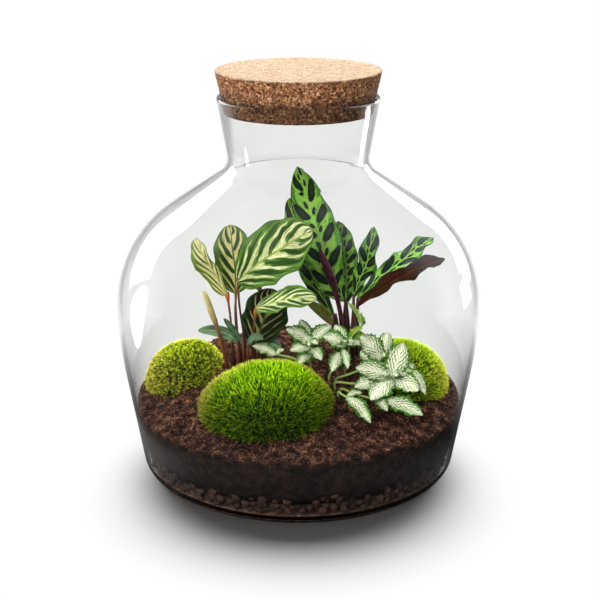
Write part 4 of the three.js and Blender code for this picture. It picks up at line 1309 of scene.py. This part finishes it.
youngLeaves = [
    {"node": "peacock_plant_young_leaf_left", "root": (-45, -18), "half": 5, "cup": 0.2,
     "stalk": [(-45, -18, 92), (-46, -17, 100)], "face": (0, -0.6, 0.8),
     "spine": [(-45, -17, 99), (-52, -15, 104), (-63, -14, 107), (-75, -16, 108)]},
    {"node": "peacock_plant_young_leaf_slim", "root": (-41, -17), "half": 2.6, "cup": 0.3,
     "stalk": [(-41, -18, 92), (-42, -18, 101)], "face": (0.3, -0.8, 0.5),
     "spine": [(-42, -18, 99), (-48, -22, 110), (-55, -25, 121)]},
    {"node": "peacock_plant_young_leaf_right", "root": (-38, -18), "half": 3.6, "cup": 0.2,
     "stalk": [(-38, -18, 90), (-38, -18, 99)], "face": (0, -0.6, 0.8),
     "spine": [(-38, -18, 97), (-33, -21, 104), (-26, -26, 105)]},
    {"node": "peacock_plant_young_leaf_low", "root": (-27, -3), "half": 4, "cup": 0.2,
     "stalk": [(-27, -4, 88), (-26, -5, 93)], "face": (0, -0.6, 0.8),
     "spine": [(-27, -5, 91), (-20, -7, 94), (-13, -9, 91)]},
]

# Rattlesnake plant
rattlesnakeLeaves = [
    {"node": "rattlesnake_plant_leaf_large", "root": (37, 15), "half": 15.5, "cup": 0.12,
     "wave": (1.5, 3.5), "stalk": [(36, 15, 96), (36, 14, 124)], "face": (0.05, -1, 0.2),
     "spine": [(36, 14, 121), (24, 14, 139), (17, 17, 168), (9, 21, 190), (-1, 27, 224)]},
    {"node": "rattlesnake_plant_leaf_back_right", "root": (38, 21), "half": 10, "cup": 0.15,
     "wave": (1.2, 3), "stalk": [(38, 22, 96), (37, 24, 118)], "face": (0, -1, 0.2),
     "spine": [(37, 24, 115), (37, 28, 138), (35, 32, 157), (30, 36, 178)]},
    {"node": "rattlesnake_plant_leaf_back_left", "root": (32, 20), "half": 9, "cup": 0.15, "wave": (2, 4),
     "stalk": [(30, 21, 94), (28, 22, 108)], "face": (-0.2, -1, 0.1),
     "spine": [(28, 22, 105), (14, 29, 129), (4, 35, 152), (-3, 39, 175), (-7, 41, 195)]},
    {"node": "rattlesnake_plant_leaf_upright", "root": (41, 10), "half": 7.2, "cup": 0.1,
     "wave": (2.4, 2.0), "sway": 0.2, "stalk": [(42, 9, 96), (42, 8, 129)], "face": (-0.2, -1, 0.2),
     "spine": [(42, 8, 126), (46, 6, 141), (51, 4, 154), (53, 2, 167), (56, 2, 183)]},
    {"node": "rattlesnake_plant_leaf_right", "root": (44, 21), "half": 9, "cup": 0.1, "wave": (2.4, 2.6),
     "sway": 0.18, "stalk": [(45, 22, 96), (46, 22, 121)], "face": (-0.35, -0.6, 0.75),
     "spine": [(45, 22, 119), (62, 30, 134), (79, 38, 145), (93, 44, 155), (106, 46, 163)]},
    {"node": "rattlesnake_plant_leaf_turned", "root": (44, 15), "half": 9, "cup": 0.12, "wave": (2.0, 3.0),
     "sway": 0.12, "stalk": [(45, 14, 96), (45, 12, 120)], "face": (-0.3, 0.9, 0.5),
     "spine": [(45, 12, 117), (62, 4, 135), (80, -3, 148), (96, -8, 158), (108, -10, 162)]},
    {"node": "rattlesnake_plant_leaf_small", "root": (30, 8), "half": 4.5, "cup": 0.4,
     "stalk": [(28, 5, 94), (26, 2, 107)], "face": (0.3, -0.7, 0.6),
     "spine": [(27, 3, 105), (18, -4, 117), (5, -10, 130)]},
]


def makeLeaf(leaf, upper, lower, stalk, size=1.0, sizes=stalkSizes):
    parts = [bladePart(leaf), stalkPart(leaf, 2, size, sizes)]
    makePiece(leaf["node"], parts, [upper, lower, stalk])


brownStalk, greyGreen = stalks["redBrownStalk"], plainLeaf["greyGreenLeaf"]
for leaf in peacockLeaves:
    broad = {**leaf, "outline": "broad"}
    makeLeaf(broad, feathered[leaf["look"]], plainLeaf["plumUnderside"], brownStalk)
for leaf in youngLeaves:
    makeLeaf(leaf, greyGreen, greyGreen, brownStalk, 0.8)
for leaf in rattlesnakeLeaves:
    small = leaf["node"].endswith("small")
    upper = plainLeaf["oliveYoungLeaf"] if small else ovalLeaf if leaf["half"] > 9.5 else smallOvalLeaf
    size = 0.7 if small else 1.0
    makeLeaf(leaf, upper, plainLeaf["maroonUnderside"], stalks["maroonStalk"], size, sheathSizes)
print("prayer plants grown")

# Leaves that are still rolled: a spindle with a raised seam that winds round it
rolledLeaves = [
    {"node": "peacock_plant_rolled_leaf", "root": (-53, -19), "radius": 1.3, "thick": 2.3,
     "finish": "rolledSpear", "slot": "rolled_leaf", "closing": 16, "tip": 1.4,
     "stalk": [(-54, -19, 84), (-56, -20, 94), (-60, -22, 112), (-64, -24, 126), (-69, -26, 142)]},
    {"node": "rattlesnake_plant_rolled_leaf", "root": (35, 9), "radius": 1.8, "thick": 3.6,
     "finish": "maroonRolledLeaf", "slot": "maroon_leaf", "closing": 4, "tip": 0.5,
     "stalk": [(34, 8, 96), (32, 6, 114), (28, 3, 132), (22, 2, 150), (15, 3, 168)]},
]
rolling = {"rows": 90, "sides": 20, "winds": 1.6, "seam": 0.16, "smoothOver": 7}


def makeRolledLeaf(leaf):
    points, _ = stalkPoints(leaf["root"], leaf["stalk"], rolling["rows"])
    start = np.argmin(np.linalg.norm(points - np.array(leaf["stalk"][-3]), axis=1))
    along = np.clip((np.arange(len(points)) - start) / (len(points) - 1 - start), 0, 1)
    swell = leaf["thick"] * np.minimum(1, 0.5 + 1.6 * along) * (1 - along ** leaf["closing"])
    radii = np.where(along > 0, np.maximum(leaf["tip"], swell), leaf["radius"])
    over, sides = rolling["smoothOver"], rolling["sides"]
    radii = np.convolve(np.pad(radii, over // 2, mode="edge"), np.ones(over) / over, mode="valid")
    spindle = tube(points, radii, sides, 0)
    turns = np.linspace(0, 2 * math.pi, sides, endpoint=False)
    for row in range(len(points)):
        winding = (turns / (2 * math.pi) + rolling["winds"] * along[row]) % 1
        grow = 1 + (along[row] > 0) * rolling["seam"] * (winding - 0.5)
        ring = slice(row * sides, (row + 1) * sides)
        spindle["points"][ring] = points[row] + (spindle["points"][ring] - points[row]) * grow[:, None]
    makePiece(leaf["node"], [spindle], [{**stalks, **plainLeaf}[leaf["finish"]]])


for leaf in rolledLeaves:
    makeRolledLeaf(leaf)

# Nerve plant: how white each stem's leaves are, and each leaf by its base, tip and half width, then where
# they matter the way it faces and a point that it bends over
nerveFace = (0, -0.75, 0.65)
nerveStems = [
    {"node": "nerve_plant_spray", "root": (35, -21), "stalk": [(37, -21, 88), (38, -20, 102)], "white": 0.1,
     "teeth": (11, 0.45), "young": 5, "leaves": [
        ((38, -20, 101), (36, -26, 134), 5.5, (0.9, -0.3, 0.2), (47, -22, 116)),
        ((38, -20, 99), (50, -24, 106), 4),
     ]},
    {"node": "nerve_plant_stem_left", "root": (9, -24), "stalk": [(9, -23, 90), (9, -21, 103)],
     "white": 0.5, "young": 11, "leaves": [
        ((9, -21, 101), (-9, -24, 112), 6), ((9, -21, 101), (24, -20, 113), 5.5),
        ((9, -22, 97), (-6, -32, 98), 5.5), ((9, -22, 96), (17, -38, 93), 5),
        ((9, -21, 102), (1, -14, 116), 4), ((9, -23, 92), (0, -38, 90), 4.5),
     ]},
    {"node": "nerve_plant_stem_middle", "root": (23, -30), "white": 0.55, "young": 10,
     "stalk": [(26, -29, 84), (31, -28, 94), (35, -28, 102)], "leaves": [
        ((35, -28, 101), (18, -34, 110), 6.5), ((31, -28, 95), (24, -48, 88), 5),
        ((33, -28, 98), (36, -47, 90), 3.5), ((35, -28, 101), (50, -33, 104), 3),
        ((35, -27, 101), (27, -20, 114), 5),
     ]},
    {"node": "nerve_plant_stem_back", "root": (28, -34), "white": 0.75,
     "stalk": [(38, -37, 82), (52, -39, 89), (62, -39, 95)], "leaves": [
        ((61, -39, 94), (45, -39, 112), 8), ((61, -38, 95), (66, -28, 111), 6),
        ((54, -38, 90), (46, -30, 97), 5),
     ]},
    {"node": "nerve_plant_stem_front", "root": (27, -39), "white": 0.75,
     "stalk": [(40, -46, 78), (56, -50, 80), (68, -51, 86)], "leaves": [
        ((68, -51, 85), (76, -45, 109), 8.5, (0, -0.95, 0.3)), ((67, -51, 85), (41, -60, 96), 7.5),
        ((66, -51, 84), (40, -67, 84), 7), ((68, -51, 84), (51, -74, 77), 8, (0, -0.6, 0.8)),
        ((69, -51, 84), (86, -62, 79), 8, (0.2, -0.7, 0.7)), ((69, -51, 85), (84, -43, 92), 6),
        ((70, -50, 85), (92, -56, 74), 5, nerveFace, (84, -49, 85)),
     ]},
    {"node": "nerve_plant_stem_outer", "root": (31, -46), "white": 0.5,
     "stalk": [(42, -57, 74), (54, -64, 74), (64, -67, 74)], "leaves": [
        ((62, -66, 74), (88, -75, 66), 7, (0, -0.5, 0.85)), ((55, -64, 74), (63, -77, 70), 4),
     ]},
    {"node": "nerve_plant_stem_drooping", "root": (29, -50), "stalk": [(31, -56, 74), (35, -62, 74)],
     "white": 0.4, "leaves": [
        ((35, -61, 74), (51, -82, 63), 5.5, (0, -0.5, 0.85), (43, -73, 72)),
     ]},
    {"node": "nerve_plant_runner", "root": (5, -19),
     "stalk": [(-2, -19, 86), (-12, -19, 89), (-20, -20, 91)], "white": 0.7, "leaves": [
        ((-17, -20, 90), (-34, -22, 98), 5, (0, -0.6, 0.8)),
     ]},
]
nerveStalk = {"foot": 1.0, "top": 0.75, "rows": 36, "sides": 8}
nerveTeeth = (8, 0.2)


def youngNerveLeaves(stem):
    # small leaves that fill the heart of each tuft, between its grown leaves
    random = np.random.default_rng(len(stem["node"]))
    grown = stem["leaves"]
    heart = np.mean([leaf[0] for leaf in grown], axis=0)
    longest = max(math.dist(leaf[0], leaf[1]) for leaf in grown)
    young = []
    for index in range(stem.get("young", len(grown))):
        angle = index * goldenTurn + random.uniform(0, 0.8)
        away = np.array([math.cos(angle), 0.8 * math.sin(angle), random.uniform(0.15, 0.6)])
        length = longest * random.uniform(0.35, 0.5)
        foot = heart + (0, 0, random.uniform(0, 2))
        face = (0.3 * math.cos(angle), -0.5 + 0.2 * math.sin(angle), 0.85)
        young.append((foot, foot + unit(away) * length, 0.27 * length, face))
    return young


def nerveBlade(stem, base, tip, half, face=nerveFace, over=None, young=False):
    base, tip = np.array(base, float), np.array(tip, float)
    middle = (base + tip) / 2 + (0, 0, 1.5) if over is None else over
    shape = {
        "spine": [base, middle, tip], "face": face, "half": half * 1.2, "outline": "nerve", "cup": 0.15,
        "wave": (1.1, 2.5), "ribs": (6, 0.6, 0.5), "sway": 0.08, "teeth": stem.get("teeth", nerveTeeth),
    }
    rows, columns = (26, 8) if young else (36, 12)
    return bladePart(shape, rows, columns, slots=(0, 0), tone=stem["white"] * (1.1 if young else 1.0))


def makeNerveStem(stem):
    points, _ = stalkPoints(stem["root"], stem["stalk"], nerveStalk["rows"])
    radii = np.linspace(nerveStalk["foot"], nerveStalk["top"], len(points))
    parts = [tube(points, radii, nerveStalk["sides"], 1)]
    parts += [nerveBlade(stem, *leaf) for leaf in stem["leaves"]]
    parts += [nerveBlade(stem, *leaf, young=True) for leaf in youngNerveLeaves(stem)]
    leafy = plainLeaf["paleNerveLeaf"] if stem["node"].endswith("spray") else netLeaf
    makePiece(stem["node"], parts, [leafy, stalks["lightGreenStalk"]])


for stem in nerveStems:
    makeNerveStem(stem)
print("nerve plant grown")


# Studio: a pale floor and a white surround, an overhead soft box, a key and a fill for the planting alone,
# and the boxes and small cards that the glass mirrors
studio = {
    "floorRadius": 6.0, "floorDepth": 0.0006, "floorColour": "#B6B6B6", "floorSides": 96,
    "whiteFrom": 0.095, "whiteTo": 0.17, "whiteCentre": (0, -0.05, 0), "ambient": 0.22, "mirroredFront": 0.03,
    "mirroredBehind": 0.6, "mirroredFloor": 0.035, "edgeShade": 0.3, "aim": (0, 0, 0.18),
    # each light's place, size, roll and power, and whether the glass mirrors it
    "boxes": {
        "overheadBox": ((0.0, 0.75, 1.2), (1.6, 1.2), 0, 66.0, False),
        "frontKey": ((-0.45, -1.1, 1.0), (0.7, 0.7), 0, 17.0, False),
        "leftFill": ((-1.2, -0.25, 0.12), (0.5, 0.4), 0, 6.0, False),
        "neckCard": ((0.45, 0.22, 0.112), (0.12, 0.10), 0, 0.3, True),
        "sideCard": ((-0.196, -0.028, 0.128), (0.052, 0.096), 0, 0.065, True),
        "leftBox": ((-0.90, 0.81, 0.52), (0.9, 0.6), -45, 7.5, True),
        "rightBox": ((0.80, 1.02, 0.36), (0.75, 0.45), 45, 4.6, True),
    },
    "forPlanting": ("frontKey", "leftFill"),
    "oval": ("sideCard",),
}


def floorMaterial():
    # smooth white paper: takes the soft shadow near the jar and is evenly bright further out
    material, add = newMaterial("whitePaperFloor")
    place = add("place")
    away = add("vectors", [place, studio["whiteCentre"]], output=1, operation="DISTANCE")
    white = add("step", [away, studio["whiteFrom"], studio["whiteTo"]])
    paper = add("ShaderNodeBsdfDiffuse", [studio["floorColour"]])
    bounced = add("ShaderNodeLightPath", output="Glossy Depth")
    acrossX, alongY, _ = add("axes", [place]).node.outputs
    front = add("ramp", [alongY, 0.25, 0.0])
    reach = add("vectors", [place], output=1, operation="LENGTH")
    near = add("step", [reach, 0.150, 0.175, 0.22, 0.0])
    left = add("step", [acrossX, -0.10, -0.14])
    spared = add("MULTIPLY", [near, left])  # leaves the sheen low on the jar's left
    front = add("SUBTRACT", [front, spared])
    mirrored = add("MULTIPLY", [bounced, front], use_clamp=True)
    seenThrough = add("ShaderNodeLightPath", output="Is Transmission Ray")
    outward = add("ABSOLUTE", [acrossX])
    aside = add("step", [outward, 0.21, 0.42, 1.0, studio["edgeShade"]])  # draws the glass's outline in grey
    further = add("ramp", [alongY, 0.05, 0.15])
    seenBehind = add("MULTIPLY", [seenThrough, further])
    behind = add("between", [seenBehind, 1.0, aside])
    level = add("between", [mirrored, behind, studio["mirroredFloor"]])
    bright = add("ShaderNodeEmission", {"Color": (1, 1, 1, 1), "Strength": level})
    both = add("ShaderNodeMixShader", [white, paper, bright])
    dark = add("ShaderNodeEmission", {"Color": (0, 0, 0, 1)})
    held = add("MULTIPLY", [mirrored, 0.85])
    seen = add("ShaderNodeMixShader", [held, both, dark])
    add("ShaderNodeOutputMaterial", [seen])
    return material


def lightSurround():
    # white where it is looked at, dim where the glass would mirror it
    world = bpy.data.worlds.new("whiteSurround")
    add = emptied(world)
    seen = add("ShaderNodeLightPath").node.outputs
    level = add("between", [seen["Is Transmission Ray"], studio["ambient"], 1.0])
    level = add("between", [seen["Is Camera Ray"], level, 1.0])
    towardsY = add("axes", [add("ShaderNodeTexCoord")], output=1)
    front = add("ramp", [towardsY, 0.3, 0.0])
    dim = add("between", [front, studio["mirroredBehind"], studio["mirroredFront"]])
    level = add("between", [seen["Glossy Depth"], level, dim])
    shade = add("ShaderNodeBackground", {"Color": (1, 1, 1, 1), "Strength": level})
    add("ShaderNodeOutputWorld", [shade])
    bpy.context.scene.world = world


def addLight(name, place, size, roll, power, shows, lit):
    data = bpy.data.lights.new(name, "AREA")
    data.shape = "ELLIPSE" if name in studio["oval"] else "RECTANGLE"
    data.size, data.size_y = size
    data.energy = power
    light = newObject(name, data)
    light.location = place
    facing = (Vector(studio["aim"]) - Vector(place)).to_track_quat("-Z", "Y").to_matrix()
    light.rotation_euler = (facing @ Matrix.Rotation(math.radians(roll), 3, "Z")).to_euler()
    light.visible_camera = False
    light.visible_transmission = False
    light.visible_glossy = shows or name in studio["forPlanting"]
    light.visible_diffuse = not shows
    if name in studio["forPlanting"]:  # it lights and gleams on the planting, and the glass doesn't mirror it
        light.light_linking.receiver_collection = lit


def makeStudio():
    sides, depth = studio["floorSides"], -studio["floorDepth"] / mm
    angles = np.linspace(0, 2 * math.pi, sides + 1)[:-1]
    reach = studio["floorRadius"] / mm
    ring = [(reach * math.cos(a), reach * math.sin(a), depth) for a in angles]
    floor = meshObject("floor", [part(ring, [tuple(range(sides))], 0)], [floorMaterial()])
    lightSurround()
    lit = bpy.data.collections.new("litPieces")
    for piece in bpy.context.scene.objects:
        if piece.type == "MESH" and piece.name not in ("floor", "glassJar"):
            lit.objects.link(piece)
    for name, values in studio["boxes"].items():
        addLight(name, *values, lit)
    scene = bpy.context.scene
    scene.view_settings.view_transform = "Standard"
    cycles = scene.cycles
    cycles.use_denoising = True
    cycles.max_bounces, cycles.transmission_bounces = 16, 14
    cycles.caustics_reflective = cycles.caustics_refractive = False


makeStudio()
print("studio lit")
